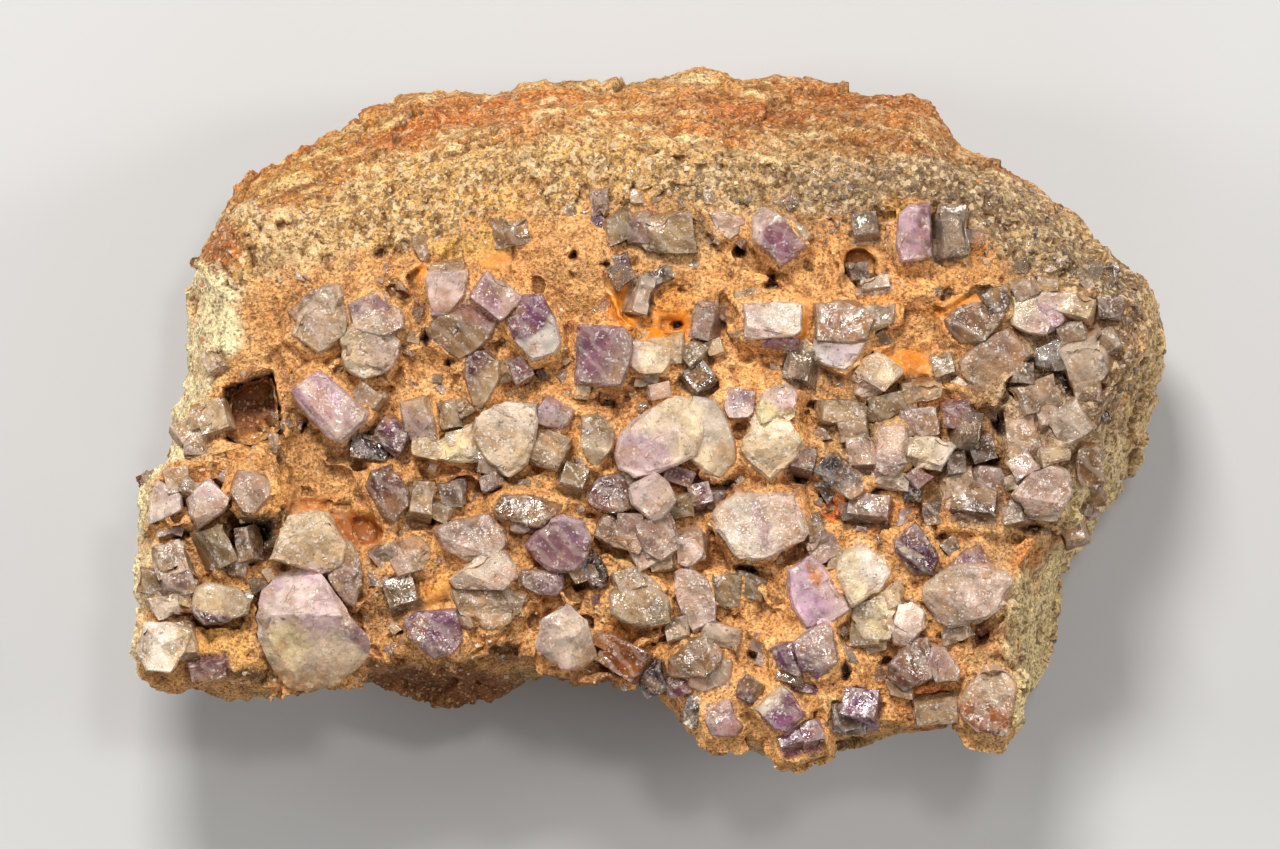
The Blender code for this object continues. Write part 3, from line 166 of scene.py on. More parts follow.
# Crystals that stand lower between the others: place, size, turn, height over the face, colour
SMALL = [
    (2.0, 7.5, 3.4, 3.2, 4, 1.6, "cream"), (-3.6, -30.6, 5.0, 3.4, -28, 1.4, "amber"),
    (-5.6, -29.0, 2.4, 1.6, -28, 1.2, "orange"), (5.2, 7.6, 2.8, 3.0, 40, 1.2, "green_grey"),
    (8.0, 7.8, 1.8, 1.6, 20, 1.0, "cream"), (-0.5, 4.0, 2.8, 1.8, 0, 0.8, "grey"),
    (1.3, 2.3, 2.4, 1.8, 10, 0.8, "lilac_pale"), (19.6, 7.7, 2.2, 1.3, -40, 1.4, "cream"),
    (8.3, -11.3, 2.2, 1.8, 0, 1.0, "grey_lilac"), (24.2, -0.4, 5.6, 3.2, -8, 0.9, "green_grey"),
    (25.4, -2.6, 3.2, 2.2, 10, 0.8, "grey"), (22.5, -9.9, 2.2, 2.6, 30, 0.8, "grey_dark"),
    (-2.0, -8.6, 3.2, 1.6, 0, 0.8, "grey_lilac"), (3.7, -8.3, 3.4, 1.5, -20, 1.2, "mauve"),
    (3.6, -12.4, 3.4, 2.6, 15, 1.0, "green_grey"), (43.3, 13.7, 3.0, 2.6, 20, 2.0, "grey_dark"),
    (53.0, 13.2, 4.0, 2.4, -20, 1.4, "cream"), (54.4, 5.8, 4.6, 4.6, 20, 1.2, "white"),
    (54.6, 2.0, 2.8, 2.6, 10, 0.9, "grey"), (33.8, 1.9, 4.2, 2.4, 6, 1.0, "beige"),
    (30.4, 0.6, 5.6, 2.6, 14, 0.9, "green_grey"), (38.5, -0.9, 3.4, 3.0, 8, 1.2, "mauve"),
    (33.6, -1.4, 4.6, 3.2, 5, 1.6, "grey_lilac"), (33.7, -8.2, 2.6, 2.2, 40, 1.6, "mauve"),
    (32.6, -10.0, 1.8, 2.6, 0, 1.2, "smoky"), (30.0, -8.9, 4.2, 1.8, -5, 1.4, "white"),
    (41.6, -5.0, 2.2, 2.6, 12, 0.8, "grey_dark"), (38.4, -9.9, 4.4, 3.8, 14, 1.2, "grey"),
    (42.4, -9.4, 3.0, 3.6, -10, 0.9, "grey_lilac"), (48.6, 1.8, 4.8, 3.8, 18, 1.4, "grey"),
    (52.4, -1.8, 4.2, 3.8, 35, 1.2, "white"), (46.3, -6.8, 2.8, 3.0, 30, 1.8, "lilac_pale"),
    (55.0, -7.0, 3.0, 4.6, 4, 0.6, "olive"), (50.9, -5.8, 3.8, 1.8, 8, 1.2, "cream"),
    (45.2, -9.0, 1.6, 1.8, 10, 1.0, "cream"), (-25.3, -0.6, 2.4, 3.0, 10, 1.2, "green_grey"),
    (-23.1, 0.2, 2.2, 1.8, 30, 1.0, "beige"), (-24.2, -3.3, 2.2, 1.6, 10, 1.4, "white"),
    (-22.4, -4.8, 4.0, 2.0, -12, 1.2, "cream"), (-12.7, -4.4, 4.8, 3.8, -20, 1.4, "beige"),
    (-19.6, -6.9, 3.4, 1.9, -10, 1.0, "grey"), (-20.0, -9.0, 2.4, 2.0, 20, 0.9, "grey_lilac"),
    (-27.4, -4.7, 3.6, 2.2, -8, 1.4, "cream"), (-16.0, 5.2, 2.2, 2.8, 30, 1.2, "mauve"),
    (-18.7, 4.4, 2.4, 2.6, 20, 1.3, "beige"), (-32.0, -2.6, 3.6, 3.8, -30, 1.6, "purple"),
    (-34.8, -4.7, 4.2, 2.6, -10, 1.1, "dark_purple"), (-35.8, 1.0, 3.6, 4.4, -34, 1.8, "grey"),
    (-25.0, -10.7, 2.4, 2.8, 8, 1.0, "grey_dark"), (-26.8, -13.1, 3.0, 1.7, -15, 1.0, "cream"),
    (-8.3, -6.9, 1.8, 1.6, 10, 0.8, "grey"), (-59.0, -8.6, 2.8, 2.6, 12, 1.4, "beige"),
    (-57.2, -9.4, 2.0, 1.8, -20, 1.2, "grey"), (-55.6, -0.6, 3.4, 3.0, 10, 1.0, "beige"),
    (-57.6, -2.4, 3.0, 2.8, 30, 0.6, "cream"), (-56.7, -4.3, 2.4, 1.9, 0, 1.0, "grey"),
    (-52.4, -19.5, 3.8, 1.8, -10, 0.9, "olive"), (-59.8, -18.2, 3.4, 3.2, 10, 1.8, "grey"),
    (-62.2, -21.6, 2.8, 2.6, -10, 1.2, "green_grey"), (-58.8, -21.6, 3.6, 2.6, 12, 2.0, "grey_lilac"),
    (-60.8, -24.6, 3.8, 2.2, 6, 1.6, "white"), (-58.3, -23.9, 1.8, 2.6, 0, 1.0, "orange"),
    (-50.9, -23.7, 1.8, 2.2, -30, 0.6, "olive"), (-58.6, -28.4, 2.8, 4.0, 10, 1.2, "cream"),
    (1.2, -15.6, 5.0, 4.4, 20, 1.8, "grey_lilac"), (5.0, -17.3, 3.4, 3.8, 5, 2.0, "pink"),
    (-0.8, -17.8, 3.0, 3.2, 30, 1.4, "pink"), (-2.4, -14.8, 2.8, 3.2, 0, 1.6, "grey_lilac"),
    (1.4, -18.9, 2.6, 2.0, 10, 1.0, "cream"), (-2.6, -21.2, 3.4, 2.6, 20, 1.8, "beige"),
    (9.2, -22.8, 3.4, 4.0, -8, 1.3, "green_grey"), (12.2, -21.8, 3.8, 2.6, -15, 0.9, "green_grey"),
    (3.2, -27.2, 2.8, 2.3, 15, 1.4, "grey"), (9.0, -28.2, 4.4, 2.6, -14, 1.6, "white"),
    (3.9, -34.4, 2.8, 2.2, 10, 0.8, "purple"), (5.4, -37.0, 2.2, 3.6, -30, 0.2, "smoky"),
    (24.7, -38.4, 3.2, 3.4, 10, 1.0, "grey_dark"), (31.0, -34.8, 2.6, 2.4, 6, 0.9, "beige"),
    (29.4, -23.7, 4.2, 3.2, 20, 1.8, "cream"), (29.2, -26.4, 1.8, 4.4, 8, 1.4, "cream"),
    (26.9, -27.2, 3.2, 3.8, 0, 1.2, "green_grey"), (28.2, -29.5, 2.8, 1.8, 10, 0.8, "beige"),
    (21.8, -17.5, 3.4, 2.6, 30, 2.2, "lilac_pale"), (23.4, -18.4, 2.4, 2.2, 10, 1.8, "cream"),
    (20.3, -13.6, 1.8, 1.5, 10, 0.9, "clear"), (25.3, -12.6, 2.6, 1.9, 12, 1.4, "clear"),
    (40.4, -13.1, 3.4, 2.2, 10, 1.0, "green_grey"), (42.3, -11.6, 2.8, 2.0, -6, 1.2, "clear"),
    (46.0, -12.6, 3.8, 2.6, 8, 1.2, "grey"), (49.0, -12.4, 2.8, 2.2, 0, 1.0, "white"),
    (36.3, -12.6, 4.4, 2.6, 10, 0.8, "grey_dark"), (38.4, -27.4, 3.4, 2.2, 20, 1.0, "grey"),
    (37.6, -16.9, 1.7, 1.6, 40, 0.8, "grey_dark"), (18.9, -34.0, 5.0, 1.9, -12, 1.0, "purple"),
    (17.3, -32.9, 3.0, 1.7, -12, 2.0, "clear"), (-25.6, 16.7, 4.4, 2.4, 15, 2.0, "beige"),
    (-3.9, 18.4, 1.9, 1.7, 10, 1.0, "purple"), (-3.4, 16.5, 2.6, 2.3, 30, 1.4, "clear"),
    (-6.3, 23.5, 1.7, 2.0, 0, 0.7, "purple"), (-6.4, 25.7, 1.8, 2.6, 6, 1.4, "grey_lilac"),
    (-3.7, 23.0, 3.4, 3.2, 20, 0.8, "green_grey"), (-1.5, 22.6, 2.6, 3.6, 0, 0.9, "grey_lilac"),
    (2.2, 21.6, 6.0, 4.6, 10, 0.9, "green_grey"), (-7.0, 20.8, 2.2, 2.0, 10, 0.8, "green_grey"),
    (-17.4, 22.4, 4.2, 3.6, 10, 0.7, "olive"), (0.9, 16.9, 3.0, 1.7, 24, 0.9, "grey_dark"),
    (-26.8, 20.6, 4.2, 3.0, 12, 0.6, "beige"), (36.6, 20.3, 2.8, 1.7, 0, 1.2, "grey"),
    (40.6, 21.6, 2.0, 2.4, 10, 1.6, "clear"), (37.4, 24.6, 3.2, 2.2, -10, 1.2, "grey"),
    (18.2, 22.8, 3.6, 1.2, -50, 1.4, "cream"), (12.3, 14.2, 3.0, 1.7, 16, 0.7, "green_grey"),
    (26.2, 17.4, 2.0, 1.9, 10, 0.6, "grey_dark"), (46.8, 15.1, 2.6, 2.2, 20, 1.4, "grey"),
    (49.6, 15.4, 2.8, 2.0, -10, 1.2, "beige"), (-34.6, 12.4, 4.4, 3.2, 20, 2.4, "blue_lilac"),
    (-35.0, 7.8, 5.0, 4.2, -18, 2.4, "pink"), (-42.0, 12.0, 4.6, 4.6, 40, 2.2, "grey"),
    (-24.0, -26.4, 3.0, 2.4, 20, 1.0, "beige"), (-32.6, -18.4, 2.8, 2.6, 40, 1.0, "grey"),
    (-34.0, -21.0, 2.4, 2.2, 0, 0.9, "grey_lilac"), (-8.4, -20.0, 3.0, 2.6, 20, 1.4, "olive"),
    (-15.0, -14.6, 3.8, 2.4, -10, 1.2, "grey_lilac"), (16.8, -1.6, 3.0, 4.0, 10, 1.2, "pink"),
    (14.2, -2.4, 2.8, 3.0, 20, 1.0, "cream"), (52.6, 9.4, 2.8, 2.6, 10, 1.2, "grey"),
    (46.6, 4.6, 2.6, 2.4, 0, 1.0, "grey_dark"), (51.2, 6.2, 2.0, 2.2, 10, 1.0, "clear"),
    (56.8, 8.6, 2.8, 2.6, 30, 0.8, "grey"), (57.4, 12.6, 2.6, 2.2, 0, 0.8, "grey_dark"),
]

# Thin walls of ochre crust between crystals: start, end, height over the face, thickness
WALLS = [
    (-57.6, -13.0, -53.2, -21.0, 1.9, 0.8), (-47.3, -6.2, -45.3, -13.6, 1.6, 0.7),
    (-45.2, -13.6, -48.6, -18.6, 1.6, 0.8), (-33.0, -19.0, -36.6, -25.6, 1.4, 1.0),
    (-60.8, -13.4, -57.2, -14.6, 1.6, 0.8), (-25.2, -21.6, -30.4, -25.4, 1.3, 0.9),
    (-21.6, 8.4, -24.8, 4.0, 1.6, 0.9), (-19.6, 9.8, -22.6, 7.4, 1.6, 0.9), (-15.2, -23.4, -20.6, -28.8, 1.4, 1.0),
    (-27.0, 13.4, -29.0, 7.6, 1.5, 0.8), (-29.6, 18.8, -30.6, 13.0, 2.2, 1.4), (19.6, 14.0, 18.9, 8.2, 1.6, 0.7),
    (3.0, 15.2, 4.6, 17.6, 0.9, 0.4), (23.4, 20.2, 23.6, 15.2, 1.8, 0.7), (29.6, 26.6, 31.0, 22.4, 2.4, 1.2),
    (29.3, -16.8, 35.8, -29.6, 1.4, 0.9), (34.6, 13.4, 44.2, 15.9, 2.0, 1.1), (25.2, 7.0, 30.6, 8.2, 1.2, 0.6),
    (42.4, 1.0, 47.4, 6.6, 1.3, 0.8), (36.0, 3.4, 41.6, 1.0, 1.3, 0.7), (-47.0, 5.4, -45.4, -3.0, 1.2, 0.6),
    (-53.8, 2.2, -47.2, 5.4, 1.0, 0.5), (-33.6, -13.2, -33.4, -17.2, 1.4, 0.8), (8.3, 15.0, 9.6, 9.4, 1.2, 0.6),
    (-9.4, 2.4, -1.8, 2.9, 1.4, 0.8), (-6.3, 15.6, -1.6, 9.6, 1.6, 0.6), (11.2, -9.4, 8.4, -13.8, 1.2, 0.7),
    (26.6, -9.8, 23.0, -12.6, 1.2, 0.7), (44.8, -23.8, 43.6, -30.8, 1.6, 1.1), (-12.6, -22.6, -8.6, -24.2, 1.2, 0.8),
    (-8.6, -33.2, -2.0, -33.9, 0.8, 0.7), (1.4, -27.4, -4.2, -32.4, 1.2, 0.7), (-18.0, -9.0, -26.4, -8.2, 0.9, 0.9),
    (-42.8, 4.6, -38.6, 5.6, 1.1, 0.8), (12.2, -21.6, 16.6, -24.8, 1.2, 0.8), (25.2, -31.6, 28.6, -35.0, 1.2, 0.8),
    (-41.0, -5.4, -36.6, -8.4, 1.0, 0.9), (18.4, -12.2, 22.0, -16.8, 1.0, 0.8), (-59.6, -6.2, -52.8, -7.2, 1.4, 1.0),
]

# Patches of colour on the rock: middle, half sizes, turn, colour, strength, softness of the edge in mm
PATCHES = [
    (-3.0, 12.8, 2.0, 3.0, 14, ORANGE, 0.98, 0.4), (2.4, 10.4, 3.0, 3.0, 0, ORANGE, 0.98, 0.5),
    (46.0, 0.0, 9.0, 12.0, 0, paint(112, 80, 54), 0.45, 3.0),
    (38.0, -9.0, 6.0, 4.0, 0, paint(104, 70, 46), 0.35, 2.0),
    (1.8, 13.4, 3.4, 2.2, 40, paint(212, 140, 66), 0.8, 0.8), (-19.4, 18.9, 1.5, 1.1, 20, ORANGE, 0.8, 0.6),
    (-28.3, 17.2, 0.9, 1.2, 0, ORANGE, 0.8, 0.5), (31.6, 6.0, 3.4, 1.5, -4, ORANGE, 0.9, 0.5),
    (-42.6, -11.8, 2.6, 0.9, 0, paint(176, 100, 38), 0.9, 0.4),
    (-36.8, -14.8, 3.6, 2.2, -8, paint(168, 92, 34), 0.95, 0.4),
    (-26.6, -22.4, 4.4, 1.3, 38, paint(210, 138, 58), 0.8, 0.5), (47.0, -18.0, 2.0, 2.2, 0, RUST_BRIGHT, 0.7, 0.8),
    (-4.0, -30.4, 3.2, 3.2, 20, paint(150, 84, 24), 0.9, 0.6), (34.8, -36.2, 3.4, 1.8, 20, RUST, 0.8, 0.8),
    (41.3, 20.4, 1.4, 1.2, 0, ORANGE, 0.7, 0.5), (31.0, 25.0, 1.6, 2.4, 30, paint(224, 166, 78), 0.9, 0.5),
    (25.4, 19.2, 2.2, 1.2, -20, RUST_BRIGHT, 0.8, 0.5), (28.2, 14.2, 3.2, 1.0, -12, RUST_BRIGHT, 0.7, 0.5),
    (38.6, 13.2, 3.8, 0.8, 14, ORANGE, 0.85, 0.5), (19.0, 10.6, 0.8, 3.2, 0, ORANGE, 0.7, 0.4),
    (-19.0, 26.6, 5.0, 2.0, 10, paint(206, 150, 76), 0.6, 1.4),
    # The brown patch at (-50.2, 1.0) fills the square mould: partly its own brown, partly painted shade.
    (-22.0, 20.6, 5.5, 1.6, 12, paint(214, 166, 84), 0.7, 1.0), (-50.2, 1.0, 3.4, 3.6, 0, BROWN, 0.9, 0.6),
    (-49.6, -15.6, 3.2, 2.4, -10, DARK, 0.85, 0.8), (-17.6, -30.2, 2.6, 1.4, 0, BROWN, 0.8, 0.6),
    (41.6, -28.2, 1.7, 1.8, 0, paint(120, 62, 26), 0.8, 0.6), (27.0, -5.0, 7.0, 3.4, 0, GREY_GREEN, 0.5, 1.6),
    (27.5, -0.8, 6.6, 2.8, 0, GREY_GREEN, 0.7, 1.4), (50.0, 1.5, 6.4, 8.4, 0, GREY_QUARTZ, 0.75, 2.0),
    (45.4, 18.0, 2.2, 1.6, 0, DARK, 0.6, 1.0), (56.6, 8.0, 4.2, 10.6, -12, DARK, 0.62, 2.4),
    (52.6, 4.4, 3.4, 2.2, 10, DARK, 0.5, 1.4), (38.5, 27.0, 7.0, 3.2, -18, DARK, 0.45, 2.2),
    (26.0, 26.4, 6.2, 3.6, 0, DARK, 0.42, 2.2), (52.0, 19.6, 4.0, 2.2, -40, DARK, 0.4, 1.8),
    (2.6, 21.4, 5.4, 3.6, 0, GREY_GREEN, 0.75, 1.4), (14.0, 27.6, 11.0, 3.4, -4, GREY_GREEN, 0.6, 2.2),
    (-9.6, 18.4, 5.6, 4.6, 0, paint(206, 150, 92), 0.7, 1.2),
    (15.6, 16.4, 7.6, 3.8, 0, paint(210, 152, 92), 0.6, 1.6),
    (-42.4, -6.4, 5.8, 3.6, -20, paint(180, 130, 76), 0.7, 1.6),
    (-53.0, -29.6, 3.4, 3.2, 0, paint(220, 164, 90), 0.8, 1.0),
    (-44.0, 20.4, 5.6, 3.2, -8, paint(214, 178, 128), 0.6, 1.8),
    (39.0, 17.6, 5.4, 3.0, 12, paint(214, 150, 84), 0.7, 1.4),
    (-53.6, 20.4, 2.8, 3.2, 0, paint(170, 98, 40), 0.9, 0.8), (-51.2, 25.2, 1.8, 1.0, 20, CREAM_ROCK, 0.8, 0.5),
    # These dark brown and rust patches, up to (-35.4, -3.6), lie in the gaps between crystals: partly iron stain,
    # partly painted shade.
    (5.6, -9.2, 6.4, 1.5, -8, paint(126, 64, 28), 0.75, 0.8), (19.2, -8.6, 2.4, 2.4, 0, BROWN, 0.7, 0.8),
    (36.0, -6.4, 2.4, 2.6, 0, BROWN, 0.55, 0.8), (39.0, -11.0, 4.4, 2.6, 0, paint(100, 74, 50), 0.65, 1.2),
    (30.4, 3.2, 4.0, 1.2, 8, paint(146, 76, 38), 0.7, 0.8), (37.0, 0.8, 4.0, 1.1, -14, RUST, 0.65, 0.7),
    (32.0, -12.6, 5.0, 1.3, 0, RUST, 0.45, 0.9), (43.6, -9.6, 2.0, 3.2, 0, BROWN, 0.55, 0.9),
    (44.2, 9.6, 2.6, 1.6, 20, BROWN, 0.55, 0.8), (-23.6, -8.2, 6.0, 1.5, -4, paint(140, 84, 42), 0.6, 1.0),
    (-5.0, 0.8, 3.6, 1.2, 0, BROWN, 0.6, 0.7), (-35.4, -3.6, 3.4, 1.6, 20, paint(92, 60, 44), 0.6, 0.8),
    (23.2, -12.4, 1.6, 1.4, 0, paint(196, 92, 30), 0.9, 0.4),
    (8.4, -17.4, 1.4, 3.4, 16, paint(150, 90, 48), 0.6, 0.8),
    (-46.0, -9.8, 0.9, 3.4, -14, paint(220, 158, 84), 0.7, 0.5), (-49.6, -33.0, 3.2, 0.9, -8, BLACK, 0.8, 0.5),
    (-48.0, -15.4, 1.5, 2.8, 10, BLACK, 0.7, 0.6), (-57.6, -29.4, 0.8, 1.0, 0, DARK, 0.7, 0.4),
    # The two brown patches under the front edge: the underside's own brown rock, partly painted shade.
    (-26.0, -35.2, 10.0, 3.4, -4, BROWN, 0.85, 0.8), (-9.0, -35.0, 7.0, 2.0, 6, BROWN, 0.7, 0.8),
    (30.6, -34.4, 3.0, 2.0, 0, RUST_BRIGHT, 0.5, 1.0), (12.4, -26.8, 3.2, 2.4, 0, paint(208, 144, 84), 0.5, 1.2),
]

# Spots of another colour on crystals: middle, half sizes, turn, colour, strength
SPOTS = [
    # The white spot at (-46.4, -23.6) is a frosted patch with a painted highlight.
    (-46.4, -23.6, 1.8, 1.2, 10, "white", 0.5), (-40.4, -23.6, 1.6, 2.2, -36, "lilac", 0.4),
    (-47.4, -22.6, 1.4, 2.2, -30, "lilac", 0.6), (-42.0, -20.6, 2.4, 1.2, -10, "lilac", 0.5),
    (-40.0, -31.4, 4.0, 2.8, -8, "grey", 0.7), (-36.0, -28.4, 1.2, 2.4, 34, "mauve", 0.8),
    (-48.4, -27.4, 1.0, 3.4, 0, "grey_lilac", 0.6), (-45.4, -29.2, 3.0, 2.4, 14, "yellow", 0.8),
    (-46.0, -29.6, 1.3, 0.8, 20, "orange", 0.6), (-43.6, -26.8, 1.6, 0.7, -20, "beige", 0.7),
    (-47.6, -31.6, 1.0, 1.2, 0, "grey_dark", 0.4), (-40.4, -26.4, 3.4, 1.0, -10, "lilac", 0.6),
    (-47.0, -26.4, 0.4, 0.3, 0, "smoky", 0.9), (-45.5, -26.0, 0.35, 0.3, 0, "smoky", 0.9),
    (-0.6, -5.6, 3.8, 2.4, -20, "lilac", 0.6), (4.4, -1.2, 2.8, 2.0, 30, "cream", 0.6),
    (1.6, -3.2, 2.0, 1.4, 0, "lilac_pale", 0.6), (9.0, -4.8, 1.4, 3.0, 10, "grey", 0.5),
    (-23.9, 10.0, 0.8, 0.7, 20, "smoky", 0.95), (20.6, -20.4, 1.1, 1.7, 20, "orange", 0.85),
    (14.0, -14.4, 0.9, 3.6, 12, "lilac", 0.55), (17.6, -12.6, 1.4, 1.8, 0, "grey_lilac", 0.45),
    (10.4, -13.2, 1.6, 2.2, 0, "white", 0.5), (-54.0, -26.2, 2.6, 0.7, -6, "dark_purple", 0.8),
    (42.0, -38.8, 3.2, 2.2, 0, "rust", 0.6), (41.4, -37.2, 1.8, 0.9, 10, "olive", 0.6),
    (-40.4, 1.2, 3.6, 1.5, -38, "lilac", 0.5), (-37.4, -2.2, 1.8, 0.8, 50, "grey_lilac", 0.7),
    (-42.6, 3.0, 1.4, 0.8, -38, "cream", 0.5), (-15.0, 12.4, 2.6, 1.2, 12, "purple", 0.8),
    (-7.2, 6.8, 1.8, 3.0, 0, "violet", 0.45), (16.2, 21.0, 2.0, 1.2, -44, "violet", 0.55),
    (33.2, 21.0, 1.2, 1.8, 10, "violet", 0.4), (-12.0, -16.6, 2.0, 1.6, 20, "mauve", 0.5),
    (-9.6, -15.2, 0.8, 1.6, 30, "violet", 0.6), (-27.4, -27.6, 2.2, 1.2, -20, "violet", 0.4),
    (22.2, -24.0, 1.6, 1.8, 30, "violet", 0.45), (33.2, -16.6, 1.8, 1.4, -40, "violet", 0.6),
    (41.0, -18.6, 1.8, 0.8, 0, "violet", 0.5), (39.6, -23.4, 3.2, 1.8, 10, "lilac_pale", 0.4),
    (36.6, -25.4, 1.4, 1.0, 0, "pink", 0.5), (-12.4, -29.0, 1.6, 2.4, 12, "white", 0.25),
    # The beige spot at (-8.6, -30.6) is partly the shaded face's own greyer tone, partly painted shade.
    (-8.6, -30.6, 1.0, 2.2, 10, "beige", 0.6), (-10.0, -24.6, 1.6, 0.6, 0, "lilac", 0.6),
    (-18.6, -4.8, 2.0, 2.6, 10, "white", 0.5), (15.6, -4.6, 2.0, 2.4, 0, "cream", 0.5),
    (16.4, 1.4, 1.2, 1.4, 0, "lilac", 0.5), (-35.8, 12.6, 1.8, 1.0, 20, "blue_lilac", 0.5),
    (-41.4, 10.6, 1.6, 2.6, 20, "lilac_pale", 0.4), (-34.6, 7.4, 2.0, 1.6, 0, "lilac_pale", 0.4),
    (22.6, 11.6, 1.6, 1.6, 0, "lilac", 0.4), (24.0, 6.6, 1.8, 1.0, 10, "lilac", 0.45),
    (15.2, 11.4, 2.6, 1.2, 0, "white", 0.6), (50.4, 12.8, 1.6, 1.4, 0, "lilac", 0.4),
]

# Moulds of lost crystals in the crust: outline, and how smooth their faces are
MOULDS = [
    ([(-53.4, 2.8), (-47.0, 5.0), (-45.6, -3.0), (-50.0, -4.8), (-53.4, -3.6)], 0.2),
    ([(-39.8, -13.0), (-35.4, -13.0), (-33.4, -14.2), (-33.6, -17.0), (-37.2, -17.0)], 0.9),
    ([(-56.0, -16.2), (-52.2, -13.6), (-48.4, -13.4), (-46.6, -16.2), (-49.6, -20.0), (-53.0, -21.2)], 0.1),
    ([(-45.0, -10.8), (-41.0, -11.0), (-40.2, -12.6), (-44.8, -12.6)], 0.9),
    ([(-5.4, 15.6), (-2.6, 15.6), (-1.2, 11.0), (-4.2, 10.2)], 1.0),
    ([(0.4, 12.4), (5.0, 12.0), (5.2, 9.2), (3.4, 7.8), (0.4, 8.4)], 1.0),
    ([(29.2, 7.6), (34.8, 7.2), (35.0, 4.4), (31.8, 4.8)], 1.0),
    ([(36.8, 13.8), (42.6, 15.0), (42.6, 13.2), (37.2, 12.4)], 1.0),
    ([(23.8, 20.2), (26.4, 20.8), (29.3, 19.4), (28.8, 15.8), (25.5, 14.9), (23.6, 17.0)], 0.6),
    ([(-29.5, 18.4), (-27.4, 18.2), (-27.4, 16.0), (-29.3, 16.2)], 0.8),
    ([(-21, 20.2), (-17.6, 19.8), (-17.8, 17.9), (-20.8, 18.0)], 0.8),
    ([(-6.8, -28.2), (-4.4, -28.0), (-1.0, -30.4), (-1.4, -33.0), (-4.0, -33.0)], 0.9),
    ([(-30.5, -25.4), (-24.8, -21.2), (-24.0, -22.2), (-29.4, -26.4)], 0.8),
    ([(18.6, 14.4), (19.8, 14.4), (19.6, 7.8), (18.7, 7.8)], 0.9),
]

# Shallow floors in the moulds: number of the mould, height over the face
FLOORS = [(1, -1.2), (4, -0.3), (5, -0.9), (6, -0.9)]

# Places on the crust that are bare of small crystals: middle, half sizes
BARE = [
    (-9.6, 18.8, 5.2, 4.4), (33.0, 11.0, 2.8, 3.0), (15.6, 16.8, 8.0, 3.2), (-53.0, -29.4, 3.6, 2.4),
    (-41.4, -7.6, 4.6, 3.8), (13.6, -24.6, 3.6, 2.4), (-27.8, -23.2, 3.0, 1.8), (2.6, 14.6, 4.6, 2.0),
    (-24.2, -9.0, 1.6, 1.6), (48.0, -18.4, 2.6, 2.6), (20.4, -31.0, 2.4, 2.2), (38.6, -30.6, 2.0, 1.6),
    (10.4, 5.8, 2.6, 1.8), (-44.0, 19.8, 4.0, 2.4), (-50.0, 11.0, 3.0, 5.0),
]

# Holes in the rock, painted near black as painted shade: middle, half sizes, turn, depth
PITS = [
    (43.9, -1.6, 1.1, 1.9, 0, 2.2), (42.9, -6.5, 0.9, 0.7, 20, 1.6), (3.4, 10.6, 0.75, 0.65, 0, 1.4),
    (-9.6, 19.3, 0.6, 0.7, 0, 1.6), (11.3, 20.0, 0.9, 1.0, 0, 1.6), (15.2, 16.0, 0.7, 1.2, 0, 1.4),
    (15.2, 15.5, 1.4, 0.5, 0, 1.2), (18.9, -8.6, 1.0, 0.7, 0, 1.6), (40.5, 6.2, 0.7, 0.5, 40, 1.2),
    (38.6, 9.0, 0.8, 0.5, -30, 1.2), (47.6, 5.8, 0.8, 1.0, 0, 1.2), (55.2, 4.6, 0.8, 0.6, 0, 1.2),
    (47.6, -14.8, 1.9, 0.6, 0, 1.6), (11.8, -19.8, 1.6, 0.6, -6, 1.6), (-36.4, -3.8, 1.5, 0.8, 40, 1.4),
    (-49.2, -15.4, 1.8, 2.0, 0, 1.6), (38.6, -12.2, 1.6, 0.6, 10, 1.4), (-19.8, -9.8, 1.5, 0.5, 10, 1.2),
    (22.0, -10.8, 0.9, 0.7, 0, 1.4), (32.7, -10.2, 0.6, 0.8, 0, 1.2), (35.6, -6.8, 0.7, 0.6, 0, 1.2),
    (39.2, -8.4, 0.6, 0.9, 0, 1.2), (41.6, -11.0, 0.9, 0.5, 30, 1.2), (-43.4, -2.2, 0.5, 0.9, -20, 1.0),
    (-25.0, 6.0, 0.8, 0.5, 0, 1.0), (-28.0, 9.0, 0.5, 1.2, 0, 1.2), (9.8, -9.2, 1.1, 0.5, 20, 1.2),
    (-5.2, 0.8, 1.3, 0.5, 0, 1.4), (25.2, 17.4, 0.9, 0.6, 20, 1.2), (27.8, 15.4, 1.9, 0.4, 10, 1.2),
    (-33.6, 19.6, 0.9, 0.5, 0, 1.0), (-12.6, -20.6, 0.8, 0.5, 0, 1.0), (36.4, -16.0, 0.9, 0.4, 40, 1.0),
    (-31.6, -27.6, 0.9, 0.5, 0, 1.2), (29.6, -31.4, 1.0, 0.5, 30, 1.2), (24.4, -32.6, 0.6, 1.4, 0, 1.4),
    (20.4, 0.6, 0.9, 0.6, 0, 1.2), (28.4, -10.0, 0.9, 0.4, 20, 1.0), (49.4, 10.4, 0.9, 0.4, 0, 1.0),
    (45.0, 3.4, 0.5, 0.9, -40, 1.0), (-27.6, -13.6, 0.5, 1.1, 30, 1.2), (-20.2, -15.4, 0.4, 0.8, 0, 1.0),
    (3.6, 31.4, 0.8, 0.25, -4, 0.8), (-5.6, 18.2, 0.8, 0.4, 0, 1.0), (1.6, -35.2, 1.0, 0.9, 0, 1.2),
    (-52.6, -11.6, 0.5, 0.7, 20, 1.2), (-58.6, -15.6, 1.4, 0.6, 10, 1.2), (13.0, -30.8, 1.1, 0.5, -40, 1.2),
]

